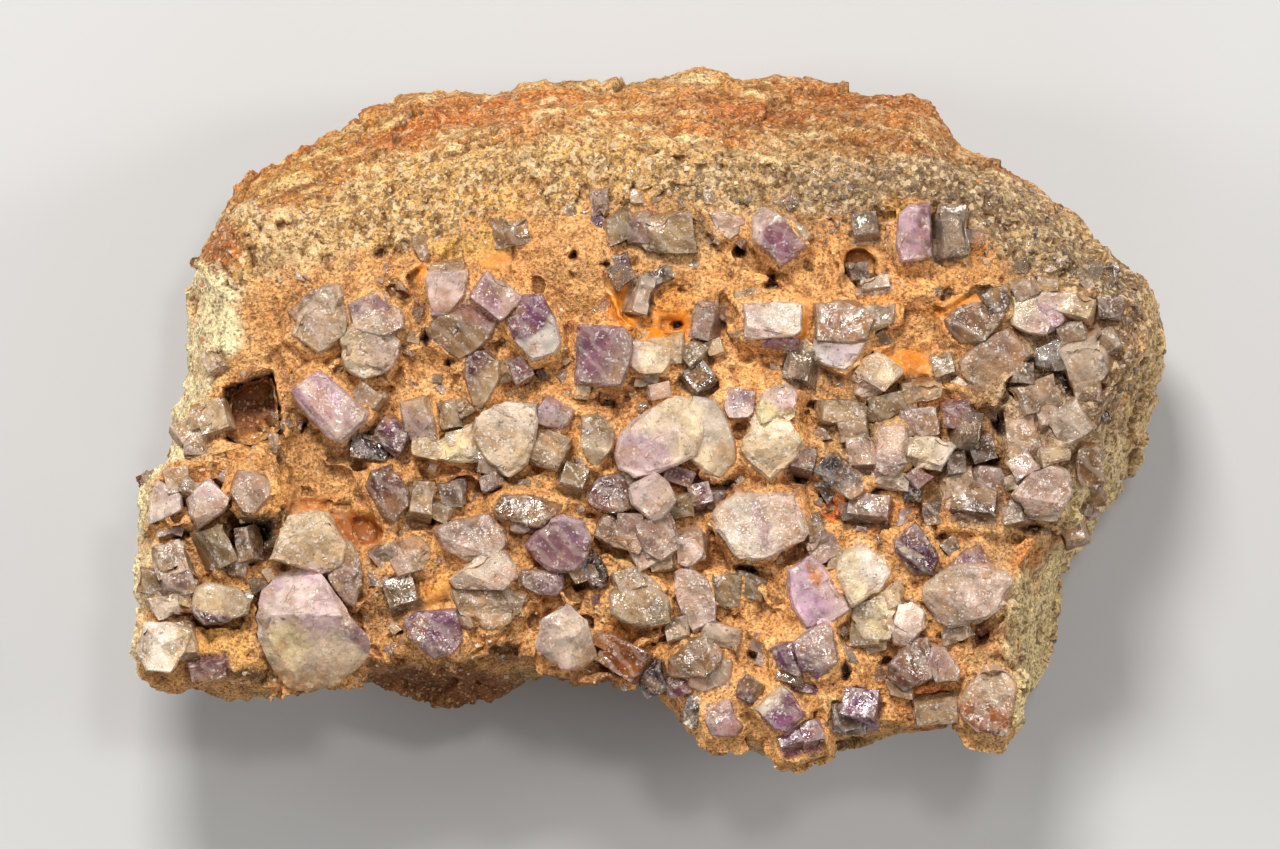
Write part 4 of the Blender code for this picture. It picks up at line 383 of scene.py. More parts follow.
# Where smaller crystals and grains lie: middle, half sizes, number tried, least and greatest size, how much
# room each keeps round it as a share of its size, colours
FILLERS = [
    (
        39.0, 0.0, 18.0, 15.0, 1600, 1.5, 4.0, 0.30,
        ("grey", "grey_lilac", "beige", "clear", "white", "green_grey", "pink", "grey_dark", "clear"),
    ),
    (52.0, 8.0, 6.0, 10.0, 400, 1.4, 3.0, 0.30, ("clear", "white", "grey", "smoky", "clear")),
    (16.0, -24.0, 22.0, 12.0, 700, 1.3, 3.0, 0.36, ("cream", "grey", "beige", "lilac_pale", "grey_lilac", "clear")),
    (-10.0, -14.0, 24.0, 10.0, 520, 1.3, 2.8, 0.38, ("grey", "beige", "grey_lilac", "cream", "mauve", "clear")),
    (-54.0, -20.0, 9.0, 12.0, 420, 1.5, 3.2, 0.34, ("grey", "white", "cream", "olive", "grey_lilac", "clear")),
    (4.0, 4.0, 24.0, 10.0, 300, 1.2, 2.4, 0.42, ("grey", "beige", "cream", "clear")),
    (-36.0, 6.0, 12.0, 12.0, 160, 1.2, 2.4, 0.42, ("grey", "grey_lilac", "clear", "beige")),
    (6.0, 22.0, 16.0, 5.0, 340, 1.2, 3.0, 0.38, ("green_grey", "beige", "grey", "clear")),
    (-38.0, -20.0, 10.0, 10.0, 200, 1.2, 2.4, 0.42, ("grey", "beige", "cream", "clear")),
]
GRAINS = [
    (54.0, 5.0, 8.0, 14.0, 2600, 0.4, 1.5, 0.36, ("clear", "smoky", "grey", "beige", "white", "olive", "smoky")),
    (38.0, 25.0, 20.0, 7.0, 1800, 0.4, 1.4, 0.4, ("smoky", "clear", "grey_dark", "beige", "white", "olive")),
    (14.0, 27.0, 12.0, 5.0, 900, 0.4, 1.2, 0.45, ("beige", "cream", "clear", "olive", "grey_dark", "white")),
    (-24.0, 26.0, 30.0, 6.0, 1800, 0.3, 0.8, 0.5, ("beige", "cream", "cream", "white", "olive")),
    (-4.0, -8.0, 54.0, 26.0, 3000, 0.4, 1.2, 0.5, ("beige", "orange", "cream", "clear", "rust", "grey")),
    (-2.0, 36.0, 46.0, 8.0, 900, 0.3, 1.0, 0.5, ("orange", "cream", "beige", "cream", "rust")),
]

# Borders drawn on the plan, from left to right: the ridge behind which the rusty slope falls away, and the
# upper and lower ends of the crystal field
RIDGE = [
    (-66, 22), (-56, 24.0), (-51.7, 25.4), (-40, 25.6), (-33, 30.6), (-27.5, 31.9), (-16, 32.5), (-6, 35.6),
    (8.8, 32.5), (18.8, 32.5), (27.5, 30.6), (38.8, 31.9), (48, 28.0), (66, 18),
]
FIELD_TOP = [
    (-66, 12), (-54, 15), (-46, 17.5), (-37, 20), (-30, 20), (-25, 22), (-18, 25), (-12, 24.8), (-5, 26), (8, 25.6),
    (20, 24), (30, 25.5), (40, 24), (45, 17.5), (55, 14), (66, 10),
]
RIGHT_RIM = [
    (-45, 45.6), (-37.5, 45.4), (-33.8, 45.8), (-30.2, 44.8), (-27, 44), (-21.7, 45.4), (-20, 47), (-17.5, 50.2),
    (-13.8, 50.8), (-7, 52.5), (-0.4, 57.5), (3.8, 59.6), (8.8, 61.7), (13, 61.7), (24, 62),
]
LEFT_RIM = [(-45, -64), (-8, -62), (-7, -58.0), (0, -56.6), (8, -51.6), (16.5, -50.0), (17.5, -58), (45, -60)]


# ------------------------------------------------------------------ small helpers

def lumps(points, size, seed=0):
    """Smooth noise between about -1 and 1 at points in mm, with lumps of a size in mm."""
    moved = points / size + np.array((seed * 7.31, seed * 3.77, seed * 5.13))
    return np.array([noise.noise(place) for place in moved.tolist()]) * 1.6


def cells(points, size, seed=0):
    """Nearness to the nearest and second nearest of scattered seeds, as shares of the size."""
    moved = points / size + np.array((seed * 2.9, seed * 8.3, seed * 1.7))
    return np.array([noise.voronoi(place)[0][:2] for place in moved.tolist()])


def facets(points, size, seed=0):
    """Heights of tilted flat cells with steps between them, about -1 to 1, for broken and moulded surfaces."""
    moved = points / size + np.array((seed * 4.7, seed * 1.9, seed * 6.1))
    seeds = np.array([tuple(noise.voronoi(place)[1][0]) for place in moved.tolist()])
    mixing = np.array([[12.99, 78.23, 37.72], [39.35, 11.14, 83.16], [73.16, 52.24, 9.15]])
    chance = np.modf(np.abs(np.sin(seeds @ mixing) * 4375.85))[0] * 2 - 1
    return 0.45 * chance[:, 0] + ((moved - seeds)[:, :2] * chance[:, 1:]).sum(1) * 1.1


def ramp(values, low, high):
    share = np.clip((values - low) / (high - low), 0, 1)
    return share * share * (3 - 2 * share)


def blend(under, over, weight):
    return under * (1 - weight[:, None]) + over * weight[:, None]


def read_points(mesh):
    points = np.empty(len(mesh.vertices) * 3)
    mesh.vertices.foreach_get("co", points)
    return points.reshape(-1, 3)


def read_normals(mesh):
    normals = np.empty(len(mesh.vertices) * 3)
    mesh.vertices.foreach_get("normal", normals)
    return normals.reshape(-1, 3)


def write_points(mesh, points):
    mesh.vertices.foreach_set("co", points.ravel())
    mesh.update()


def read_edges(mesh):
    edges = np.empty(len(mesh.edges) * 2, int)
    mesh.edges.foreach_get("vertices", edges)
    return edges.reshape(-1, 2)


def write_colour(mesh, name, colours):
    """Store a colour for each point, for the shader to read."""
    layer = mesh.color_attributes.new(name, "FLOAT_COLOR", "POINT")
    full = np.ones((len(mesh.vertices), 4), np.float32)
    full[:, :colours.shape[1]] = colours
    layer.data.foreach_set("color", full.ravel())


def new_piece(name, mesh, *nodes):
    """Put a mesh in the scene as a piece of the object, in place of CAD nodes."""
    piece = bpy.data.objects.new(name, mesh)
    bpy.context.scene.collection.objects.link(piece)
    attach(piece, "root")
    if nodes:
        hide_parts(*nodes)
    return piece


def with_modifier(mesh, kind, **settings):
    """A mesh with one modifier applied."""
    carrier = bpy.data.objects.new("carrier", mesh)
    bpy.context.scene.collection.objects.link(carrier)
    modifier = carrier.modifiers.new("step", kind)
    for key, value in settings.items():
        setattr(modifier, key, value)
    graph = bpy.context.evaluated_depsgraph_get()
    made = bpy.data.meshes.new_from_object(carrier.evaluated_get(graph))
    bpy.data.objects.remove(carrier)
    return made


def join_meshes(meshes):
    """One mesh in mm from several in mm: a list of (points, faces)."""
    points, faces, start = [], [], 0
    for block_points, block_faces in meshes:
        points.append(np.asarray(block_points))
        faces += [[corner + start for corner in face] for face in block_faces]
        start += len(block_points)
    made = bpy.data.meshes.new("joined")
    made.from_pydata(np.concatenate(points).tolist(), [], faces)
    return made


def to_table(points):
    """Plan places of points (mm, frame) in the tables' own zero."""
    return points[:, :2] - TABLE_ZERO


def border(line, along):
    """Height of a border line over a place along it."""
    return np.interp(along, [place for place, height in line], [height for place, height in line])


def ring(points):
    """The convex outline of points in the plan, turning to the left."""
    flat = [tuple(point[:2]) for point in points]
    outline = np.array([flat[place] for place in convex_hull_2d([Vector(place) for place in flat])])
    ahead = np.roll(outline, -1, axis=0)
    turn = (outline[:, 0] * ahead[:, 1] - outline[:, 1] * ahead[:, 0]).sum()
    return outline if turn > 0 else outline[::-1]


def grown_ring(outline, reach):
    """A convex outline with its corners moved away from its middle."""
    away = outline - outline.mean(0)
    length = np.maximum(np.hypot(*away.T), 0.1)[:, None]
    return outline + away * reach / length


def depth_inside(plan, outline):
    """How far each place lies inside a convex outline, in mm, and negative outside it."""
    sides = np.roll(outline, -1, axis=0) - outline
    inward = np.stack((-sides[:, 1], sides[:, 0]), 1) / np.maximum(np.hypot(*sides.T), 1e-6)[:, None]
    return ((plan[:, None, :] - outline[None]) * inward[None]).sum(2).min(1)


def near_outline(plan, outline, reach):
    """Which places are in the box around an outline, and how deep inside it they lie."""
    low, high = outline.min(0) - reach, outline.max(0) + reach
    chosen = np.flatnonzero(((plan > low) & (plan < high)).all(1))
    return chosen, depth_inside(plan[chosen], outline)


def oval_distance(plan, x, y, wide, deep, turn):
    """Distance from the middle of a turned oval, as a share of its half size."""
    across = plan - np.array((x, y))
    cos, sin = math.cos(math.radians(turn)), math.sin(math.radians(turn))
    along = (across[:, 0] * cos + across[:, 1] * sin) / wide
    over = (across[:, 1] * cos - across[:, 0] * sin) / deep
    return np.hypot(along, over)


def streaked(points, along, across):
    """Places squeezed along the rock's layers, which rise at the left end and fall at the right one."""
    turn = np.radians(np.interp(points[:, 0], (-55, 0, 45), (24, 4, -14)))
    cos, sin = np.cos(turn), np.sin(turn)
    level = points[:, 0] * cos + points[:, 1] * sin
    return np.stack((along * level, across * (points[:, 1] * cos - points[:, 0] * sin), points[:, 2]), 1)


def smoothed(points, edges, rounds):
    """Points moved to the average of their neighbours, some rounds over."""
    count = len(points)
    ends = np.concatenate((edges[:, 0], edges[:, 1]))
    others = np.concatenate((edges[:, 1], edges[:, 0]))
    links = np.maximum(np.bincount(ends, minlength=count), 1)
    for _ in range(rounds):
        points = np.stack([np.bincount(ends, points[others, axis], count) / links for axis in range(3)], 1)
    return points


# ------------------------------------------------------------------ the rock

def cad_mesh(node):
    """A CAD node's points in mm and its faces."""
    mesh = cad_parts[node].data
    return read_points(mesh) / MM, [list(face.vertices) for face in mesh.polygons]


def welded(points, faces):
    """Points that the frame's file splits at sharp edges, joined again."""
    keys, back = np.unique(np.round(points, 3), axis=0, return_inverse=True)
    back = back.ravel()
    joined = [[int(back[corner]) for corner in face] for face in faces]
    return keys, [face for face in joined if len(set(face)) == len(face)]


def rim_height(outline, tree):
    """Height of the rock beside a crystal: the median of rays cast down around its outline."""
    places = [Vector((x, y, RAY_START)) for x, y in grown_ring(outline, 1.3).tolist()]
    hits = [tree.ray_cast(place, DOWN)[0] for place in places]
    heights = [hit.z for hit in hits if hit is not None]
    return float(np.median(heights)) if heights else FACE_LEVEL


def plug(node, tree):
    """Rock that closes the socket around a crystal's root, up to a little under its rim."""
    points, faces = welded(*cad_mesh(node))
    made = bpy.data.meshes.new("plug")
    made.from_pydata(points.tolist(), [], faces)
    made.update()
    grown = points + read_normals(made) * (0.3 if node in OVERHANGING else PLUG_MARGIN)
    grown[:, 2] = np.minimum(grown[:, 2], rim_height(ring(points), tree) - 0.1)
    return grown, faces


def crust_levels(points, tree):
    """Height of the rock beside a crystal, and how far the crust climbs the crystal's sides from there."""
    rim = rim_height(ring(points), tree)
    return rim, min(max(CRUST_SHARE * (points[:, 2].max() - rim), 0.3), 2.4)


def mound(points, rim, rise):
    """Crust that rises to a crystal all round and climbs part of the way up its sides."""
    rings = [(1.5, rim - 0.3), (0.75, rim + 0.55 * rise), (0.15, rim + rise), (0.3, rim - 3.0)]
    return hull([(*place, level) for reach, level in rings for place in grown_ring(ring(points), reach)])


def wall(x, y, x_end, y_end, height, thick):
    """A thin upright slab of crust between two places, a little lower at its ends."""
    start, end = Vector((x, y)), Vector((x_end, y_end))
    side = (end - start).orthogonal().normalized() * thick / 2
    points, faces = [], []
    steps = 5
    for step in range(steps + 1):
        share = step / steps
        place = start.lerp(end, share) + side * 1.6 * math.sin(share * 7 + x)
        rise = height * (0.45 + 0.55 * math.sin(math.pi * (0.12 + 0.76 * share)))
        for way, level in ((-1, -3.0), (1, -3.0), (0.6, rise), (-0.6, rise)):
            spot = place + side * way
            points.append((spot.x + TABLE_ZERO[0], spot.y + TABLE_ZERO[1], FACE_LEVEL + level))
    for step in range(steps):
        low = step * 4
        faces += [[low + k, low + (k + 1) % 4, low + 4 + (k + 1) % 4, low + 4 + k] for k in range(4)]
    faces += [[3, 2, 1, 0], [steps * 4 + k for k in range(4)]]
    return points, faces


def rock_zones(points, normals):
    """Weights of the rock's zones at each point."""
    plan = to_table(points)
    warp = np.stack((lumps(points, 5.0, 1), lumps(points, 5.0, 2)), 1) * 1.3
    plan = plan + warp
    behind = plan[:, 1] - border(RIDGE, plan[:, 0])
    above_field = plan[:, 1] - border(FIELD_TOP, plan[:, 0])
    right = plan[:, 0] - border(RIGHT_RIM, plan[:, 1])
    left = border(LEFT_RIM, plan[:, 1]) - plan[:, 0]
    up = ramp(normals[:, 2], -0.1, 0.25) * ramp(points[:, 2], 22.0, 27.0)
    slope = ramp(behind, -1.0, 1.2)
    rights = ramp(right, -1.2, 1.2) * (1 - slope)
    lefts = ramp(left, -0.8, 0.8) * (1 - slope)
    band = ramp(above_field, -1.0, 1.4) * (1 - slope) * (1 - rights)
    field = np.clip(1 - slope - rights - lefts - band, 0, 1) * up
    return {"slope": slope, "right": rights, "left": lefts, "band": band, "field": field, "up": up}


def rock_relief(points, zones, smooth):
    """How far out each point of the rock is moved."""
    fine = 0.15 * lumps(points, 1.6, 3) + 0.15 * lumps(points, 0.85, 4)
    broad = lumps(points, 6.0, 5)
    near = cells(points, 1.5, 6)[:, 0]
    broken = facets(points, 5.2, 7)
    small_broken = facets(points, 2.2, 10)
    holes = ramp(lumps(points, 2.4, 8), 0.66, 0.90)
    field = (0.28 * broad + 0.50 * broken + 0.18 * small_broken + 0.9 * fine - 0.6 * holes) * (1 - 0.9 * smooth)
    granular = 0.40 * broad + 1.6 * fine + 0.34 * (0.45 - near) + 0.55 * small_broken
    layers = facets(streaked(points, 0.5, 1.4), 3.0, 9)
    slope = 0.70 * broad + 0.75 * layers + 0.50 * small_broken + 1.6 * fine
    flank = 1.1 * facets(points, 9.0, 11) + 0.4 * broad + 0.35 * small_broken + 1.2 * fine
    up = zones["up"]
    relief = flank * (1 - up) + slope * zones["slope"] * up
    relief += granular * (zones["right"] + zones["band"] + 0.6 * zones["left"]) * up
    return relief + field * zones["field"] * up


def below_chips(points):
    """How far inside a chip's outline each point lies: 0 outside, 1 below the chip, and the colour of that chip."""
    share, hues = np.zeros(len(points)), np.zeros((len(points), 3))
    for row in CHIPS:
        corners = brick(*row[:8])[0]
        chosen, depth = near_outline(points[:, :2], ring(corners), 0.6)
        chosen, depth = chosen[points[chosen, 2] > FACE_LEVEL - 2.5], depth[points[chosen, 2] > FACE_LEVEL - 2.5]
        share[chosen] = np.maximum(share[chosen], ramp(depth, -0.45, 0.0))
        hues[chosen] = deeper(CRYSTAL_COLOURS[row[8]], 1.0)
    return share, hues


def mould_smoothness(points):
    """Where the crust keeps the smooth faces of lost crystals."""
    plan = to_table(points)
    smooth = np.zeros(len(points))
    for outline, amount in MOULDS:
        chosen, depth = near_outline(plan, ring(outline), 1.0)
        smooth[chosen] = np.maximum(smooth[chosen], ramp(depth, -0.5, 0.1) * amount)
    return smooth


def dark_holes(points, zones):
    """How deep in one of the dark holes each point lies: a share of the hole's depth, and that depth in mm."""
    plan = to_table(points) + 0.18 * np.stack((lumps(points, 0.9, 24), lumps(points, 0.9, 25)), 1)
    share, fall = np.zeros(len(points)), np.zeros(len(points))
    chosen, depth = near_outline(plan, ring(MOULDS[0][0]), 0.5)
    floor = FACE_LEVEL - 3.4 - 0.10 * (plan[chosen, 1] - 1.0)
    fall[chosen] = np.maximum(points[chosen, 2] - floor, 0) * ramp(depth, 0.0, 0.35) * zones["up"][chosen]
    for x, y, wide, deep, turn, depth in PITS:
        chosen = np.flatnonzero(np.abs(plan - np.array((x, y))).max(1) < 3.0)
        sunk = (1 - ramp(oval_distance(plan[chosen], x, y, wide, deep, turn), 0.55, 1.15)) * zones["up"][chosen]
        share[chosen] = np.maximum(share[chosen], sunk)
        fall[chosen] = np.maximum(fall[chosen], sunk * depth)
    return share, fall


def zone_tints(points, plan):
    """The rock's colour at each point, for each of its zones."""
    broad, middle, small = lumps(points, 7.0, 11), lumps(points, 2.6, 12), lumps(points, 1.1, 13)
    side = blend(np.tile(SIDE_ROCK, (len(points), 1)), RUST_BRIGHT, ramp(broad + 0.4 * middle, 0.15, 0.9) * 0.6)
    side = blend(side, CREAM_ROCK, ramp(-broad + 0.5 * small, 0.3, 0.9) * 0.45)
    side = blend(side, BROWN, ramp(middle - 0.3 * broad, 0.4, 1.0) * 0.5)
    drift, thin = lumps(streaked(points, 0.4, 1.2), 5.0, 16), lumps(streaked(points, 0.6, 2.4), 2.6, 17)
    rusty = np.interp(plan[:, 0], (-56, -20, -6, 6, 24, 36), (0.30, 0.20, -0.10, -0.12, 0.05, 0.25))
    rusty = rusty + 0.05 * np.clip(plan[:, 1] - 34, -4, 6)
    sandy = ramp(0.6 * middle + 0.6 * thin - 0.5 * rusty, 0.10, 0.70)
    slope = blend(np.tile(TAN_ROCK, (len(points), 1)), SAND, sandy * 0.85)
    slope = blend(slope, RUST_BRIGHT, ramp(drift + 0.5 * small + rusty, 0.10, 0.55) * 0.75)
    slope = blend(slope, RUST, ramp(0.7 * drift + 0.7 * thin + rusty, 0.50, 0.9) * 0.75)
    slope = blend(slope, PALE_VEIN, ramp(thin + 0.7 * small - 0.3 * drift, 0.40, 0.80) * 0.75)
    slope = blend(slope, BROWN, ramp(-thin + 0.6 * small, 0.45, 0.85) * 0.60)
    slope = slope * np.interp(plan[:, 0], (2, 22), (0.98, 0.74))[:, None]
    slope = slope * (1 - ramp(-plan[:, 0], 26, 42)[:, None] * np.array((0.14, 0.20, 0.38)))
    band = blend(np.tile(BEIGE, (len(points), 1)), GREY_ROCK, ramp(plan[:, 0] + 6 * broad, 4, 30))
    band = blend(band, CREAM_ROCK, ramp(middle + 0.4 * thin, 0.1, 0.95) * 0.5)
    band = blend(band, CLAY_DEEP, ramp(small + 0.3 * broad, 0.35, 1.1) * 0.35)
    low = ramp(-plan[:, 1], -2, 14)  # paler towards the front
    right = blend(np.tile(GREEN_BEIGE, (len(points), 1)), PALE_FLANK, low * 0.8)
    right = blend(right, CREAM_ROCK, ramp(middle + 0.5 * small, 0.1, 0.9) * (0.35 + 0.2 * low))
    right = blend(right, RUST_BRIGHT, ramp(broad + 0.3 * small, 0.35, 0.95) * 0.4)
    left = blend(np.tile(FLANK_CREAM, (len(points), 1)), CLAY, ramp(broad + 0.6 * small, 0.1, 0.9) * 0.6)
    field = blend(np.tile(CLAY, (len(points), 1)), CLAY_PALE, ramp(middle + 0.5 * small, 0.0, 0.9) * 0.5)
    field = blend(field, CLAY_DEEP, ramp(small - 0.4 * middle, 0.15, 0.9) * 0.6)
    field = blend(field, CLAY_DEEP, ramp(broad + 0.7 * middle, 0.1, 1.0) * 0.35)
    field = blend(field, GREY_ROCK, ramp(plan[:, 0] + 4 * middle, 34, 46) * 0.55)
    field = field * np.interp(plan[:, 0], (-60, -50, -42, -30, -10), (0.96, 0.96, 0.89, 0.98, 1.07))[:, None]
    return {"side": side, "slope": slope, "band": band, "right": right, "left": left, "field": field}


def rock_colour(points, zones, hollow, holes, shapes):
    """The rock's colour: zones, patches, painted shade in the hollows and the holes, a painted highlight on the
    ridges, and the crystals' tint below them.
    """
    plan, up = to_table(points), zones["up"]
    tints = zone_tints(points, plan)
    colour = tints["side"]
    rim = np.maximum(up, ramp(points[:, 2], 8.0, 16.0))
    for name in ("slope", "band", "right", "left"):
        colour = blend(colour, tints[name], zones[name] * (up if name == "band" else rim))
    colour = blend(colour, tints["field"], zones["field"])
    warp = 0.55 * np.stack((lumps(points, 1.6, 14), lumps(points, 1.6, 15)), 1)
    for x, y, wide, deep, turn, tint, strength, soft in PATCHES:
        far = (oval_distance(plan + warp, x, y, wide, deep, turn) - 1) * min(wide, deep)
        reach = (1 - ramp(far, -soft, soft)) * np.maximum(up, ramp(points[:, 2], 10, 14))
        colour = blend(colour, tint, reach * strength)
    # Painted shade: the hollows darkened towards a deep brown.
    colour = blend(colour, np.array(CLAY_DEEP) * 0.5, ramp(hollow, 0.12, 0.80) * 0.78)
    # Painted highlight: the ridges lightened.
    colour = blend(colour, np.minimum(colour * 1.5 + 0.03, 1.0), ramp(-hollow, 0.10, 0.6) * 0.18)
    # Painted shade: the holes painted near black.
    colour = blend(colour, BLACK, ramp(holes, 0.25, 0.8) * 0.92)
    for rows in shapes.values():
        for (corners, _), look, levels in rows:
            chosen, depth = near_outline(points[:, :2], ring(corners), 0.5)
            below = ramp(depth, 0.1, 0.7) * ramp(points[chosen, 2] - levels[0], -2.8, -1.8)
            colour[chosen] = blend(colour[chosen], deeper(CRYSTAL_COLOURS[look[0]], look[5]), below * 0.9)
    share, hues = below_chips(points)
    return blend(colour, hues, ramp(share, 0.9, 1.0) * 0.9)


def rock_blocks(tree, shapes):
    """The solids that the rock is joined from: the CAD rock, plugs, mounds of crust, walls and floors."""
    blocks = [welded(*cad_mesh("fluorite_matrix"))]
    for node, rows in shapes.items():
        blocks.append(plug(node, tree))
        if node not in OVERHANGING:
            blocks += [mound(shape[0], *levels) for shape, _, levels in rows]
    blocks += [wall(*row) for row in WALLS]
    for number, level in FLOORS:
        rim = grown_ring(np.array(MOULDS[number][0]) + TABLE_ZERO, 0.6)
        heights = FACE_LEVEL + level, FACE_LEVEL + (level - 4.0)
        blocks.append(hull([(*place, height) for place in rim for height in heights]))
    return blocks


def hollows(mesh, points):
    """How hollow the surface is at each point, from the way its neighbours lie; ridges are negative."""
    edges, normals = read_edges(mesh), read_normals(mesh)
    near = smoothed(points, edges, 3)
    far = smoothed(near, edges, 14)
    return ((near - points) * normals).sum(1) * 1.6 + ((far - points) * normals).sum(1) * 0.55


def place_lookup(places):
    """A finder for the nearest of some places."""
    lookup = KDTree(len(places))
    for number, place in enumerate(places):
        lookup.insert(place, number)
    lookup.balance()
    return lookup


def make_rock(tree, shapes):
    mesh = with_modifier(join_meshes(rock_blocks(tree, shapes)), "REMESH", mode="VOXEL", voxel_size=GRAIN)
    points, normals = read_points(mesh), read_normals(mesh)
    zones = rock_zones(points, normals)
    grounded = ramp(points[:, 2], 0.1, 2.5)
    inside = below_chips(points)[0]
    relief = rock_relief(points, zones, mould_smoothness(points)) * grounded * (1 - inside) - 0.45 * inside
    points = points + normals * relief[:, None]
    points[:, 2] = np.maximum(points[:, 2] - dark_holes(points, zones)[1], 0.0)
    write_points(mesh, points)
    hollow, lookup = hollows(mesh, points), place_lookup(points)
    mesh.calc_loop_triangles()
    mesh = with_modifier(mesh, "DECIMATE", ratio=min(1.0, ROCK_TRIANGLES / len(mesh.loop_triangles)))
    points, normals = read_points(mesh), read_normals(mesh)
    points[:, 2] = np.maximum(points[:, 2], 0.0)
    hollow = hollow[[lookup.find(point)[1] for point in points.tolist()]]
    zones = rock_zones(points, normals)
    holes = dark_holes(points, zones)[0]
    write_colour(mesh, "tone", rock_colour(points, zones, hollow, holes, shapes))
    plan = to_table(points)
    grained = ramp(plan[:, 0], 46, 54) * ramp(plan[:, 1], -8, -2)
    coarse = np.clip(zones["right"] + zones["band"] + 0.3 * zones["slope"] + 0.5 * zones["left"] + grained, 0, 1)
    # The kind layer holds the coarse grain, the painted shade of the hollows, and the smoothness of the moulds.
    write_colour(mesh, "kind", np.stack((coarse, ramp(hollow, 0.1, 0.7), mould_smoothness(points) * zones["up"]), 1))
    mesh.calc_loop_triangles()
    surface = BVHTree.FromPolygons(points.tolist(), [list(face.vertices) for face in mesh.polygons])
    write_points(mesh, points * MM)
    mesh.polygons.foreach_set("use_smooth", np.ones(len(mesh.polygons), bool))
    mesh.set_sharp_from_angle(angle=math.radians(40))
    rock = new_piece("rock", mesh, "fluorite_matrix")
    mesh.materials.clear()
    mesh.materials.append(rock_material())
    return surface


# ------------------------------------------------------------------ shaders

class Nodes:
    """Short words for building a material's nodes."""

    def __init__(self, name):
        self.material = bpy.data.materials.new(name)
        self.material.use_nodes = True
        self.tree = self.material.node_tree
        self.shader = self.tree.nodes["Principled BSDF"]
        self.place = self.tree.nodes.new("ShaderNodeTexCoord").outputs["Object"]

    def link(self, source, socket):
        self.tree.links.new(source, socket)

    def attribute(self, name):
        node = self.tree.nodes.new("ShaderNodeAttribute")
        node.attribute_name = name
        return node.outputs["Color"]

    def split(self, colour):
        node = self.tree.nodes.new("ShaderNodeSeparateColor")
        self.link(colour, node.inputs[0])
        return node.outputs

    def noise(self, size, detail=4.0, roughness=0.6, distortion=0.0):
        """Noise whose lumps have a size in mm."""
        node = self.tree.nodes.new("ShaderNodeTexNoise")
        node.inputs["Scale"].default_value = 1 / (size * MM)
        node.inputs["Detail"].default_value = detail
        node.inputs["Roughness"].default_value = roughness
        node.inputs["Distortion"].default_value = distortion
        self.link(self.place, node.inputs["Vector"])
        return node.outputs["Fac"]

    def cells(self, size, output="Distance", feature="F1"):
        node = self.tree.nodes.new("ShaderNodeTexVoronoi")
        node.feature = feature
        node.inputs["Scale"].default_value = 1 / (size * MM)
        self.link(self.place, node.inputs["Vector"])
        return node.outputs[output]

    def bands(self, size):
        """Wavy layers that lie a size in mm apart."""
        node = self.tree.nodes.new("ShaderNodeTexWave")
        node.bands_direction = "DIAGONAL"
        settings = {"Scale": 0.3 / (size * MM), "Distortion": 5.0, "Detail": 2.0, "Detail Scale": 1.4}
        for name, value in settings.items():
            node.inputs[name].default_value = value
        self.link(self.place, node.inputs["Vector"])
        return node.outputs["Fac"]

    def range(self, value, low, high, to_low=0.0, to_high=1.0):
        node = self.tree.nodes.new("ShaderNodeMapRange")
        node.interpolation_type = "SMOOTHSTEP"
        for socket, number in zip(node.inputs[1:5], (low, high, to_low, to_high)):
            socket.default_value = number
        self.link(value, node.inputs["Value"])
        return node.outputs["Result"]

    def math(self, operation, first, second):
        node = self.tree.nodes.new("ShaderNodeMath")
        node.operation = operation
        for socket, value in zip(node.inputs, (first, second)):
            if isinstance(value, (int, float)):
                socket.default_value = value
            else:
                self.link(value, socket)
        return node.outputs["Value"]

    def mix(self, factor, first, second, kind="MIX"):
        node = self.tree.nodes.new("ShaderNodeMix")
        node.data_type = "RGBA"
        node.blend_type = kind
        sockets = [node.inputs[0], node.inputs[6], node.inputs[7]]
        for socket, value in zip(sockets, (factor, first, second)):
            if isinstance(value, (int, float)):
                socket.default_value = value
            elif isinstance(value, tuple) or isinstance(value, np.ndarray):
                socket.default_value = (*[float(part) for part in value], 1.0)
            else:
                self.link(value, socket)
        return node.outputs[2]

    def bump(self, height, distance, strength=1.0, below=None):
        node = self.tree.nodes.new("ShaderNodeBump")
        node.inputs["Distance"].default_value = distance * MM
        node.inputs["Strength"].default_value = strength
        self.link(height, node.inputs["Height"])
        if below is not None:
            self.link(below, node.inputs["Normal"])
        return node.outputs["Normal"]


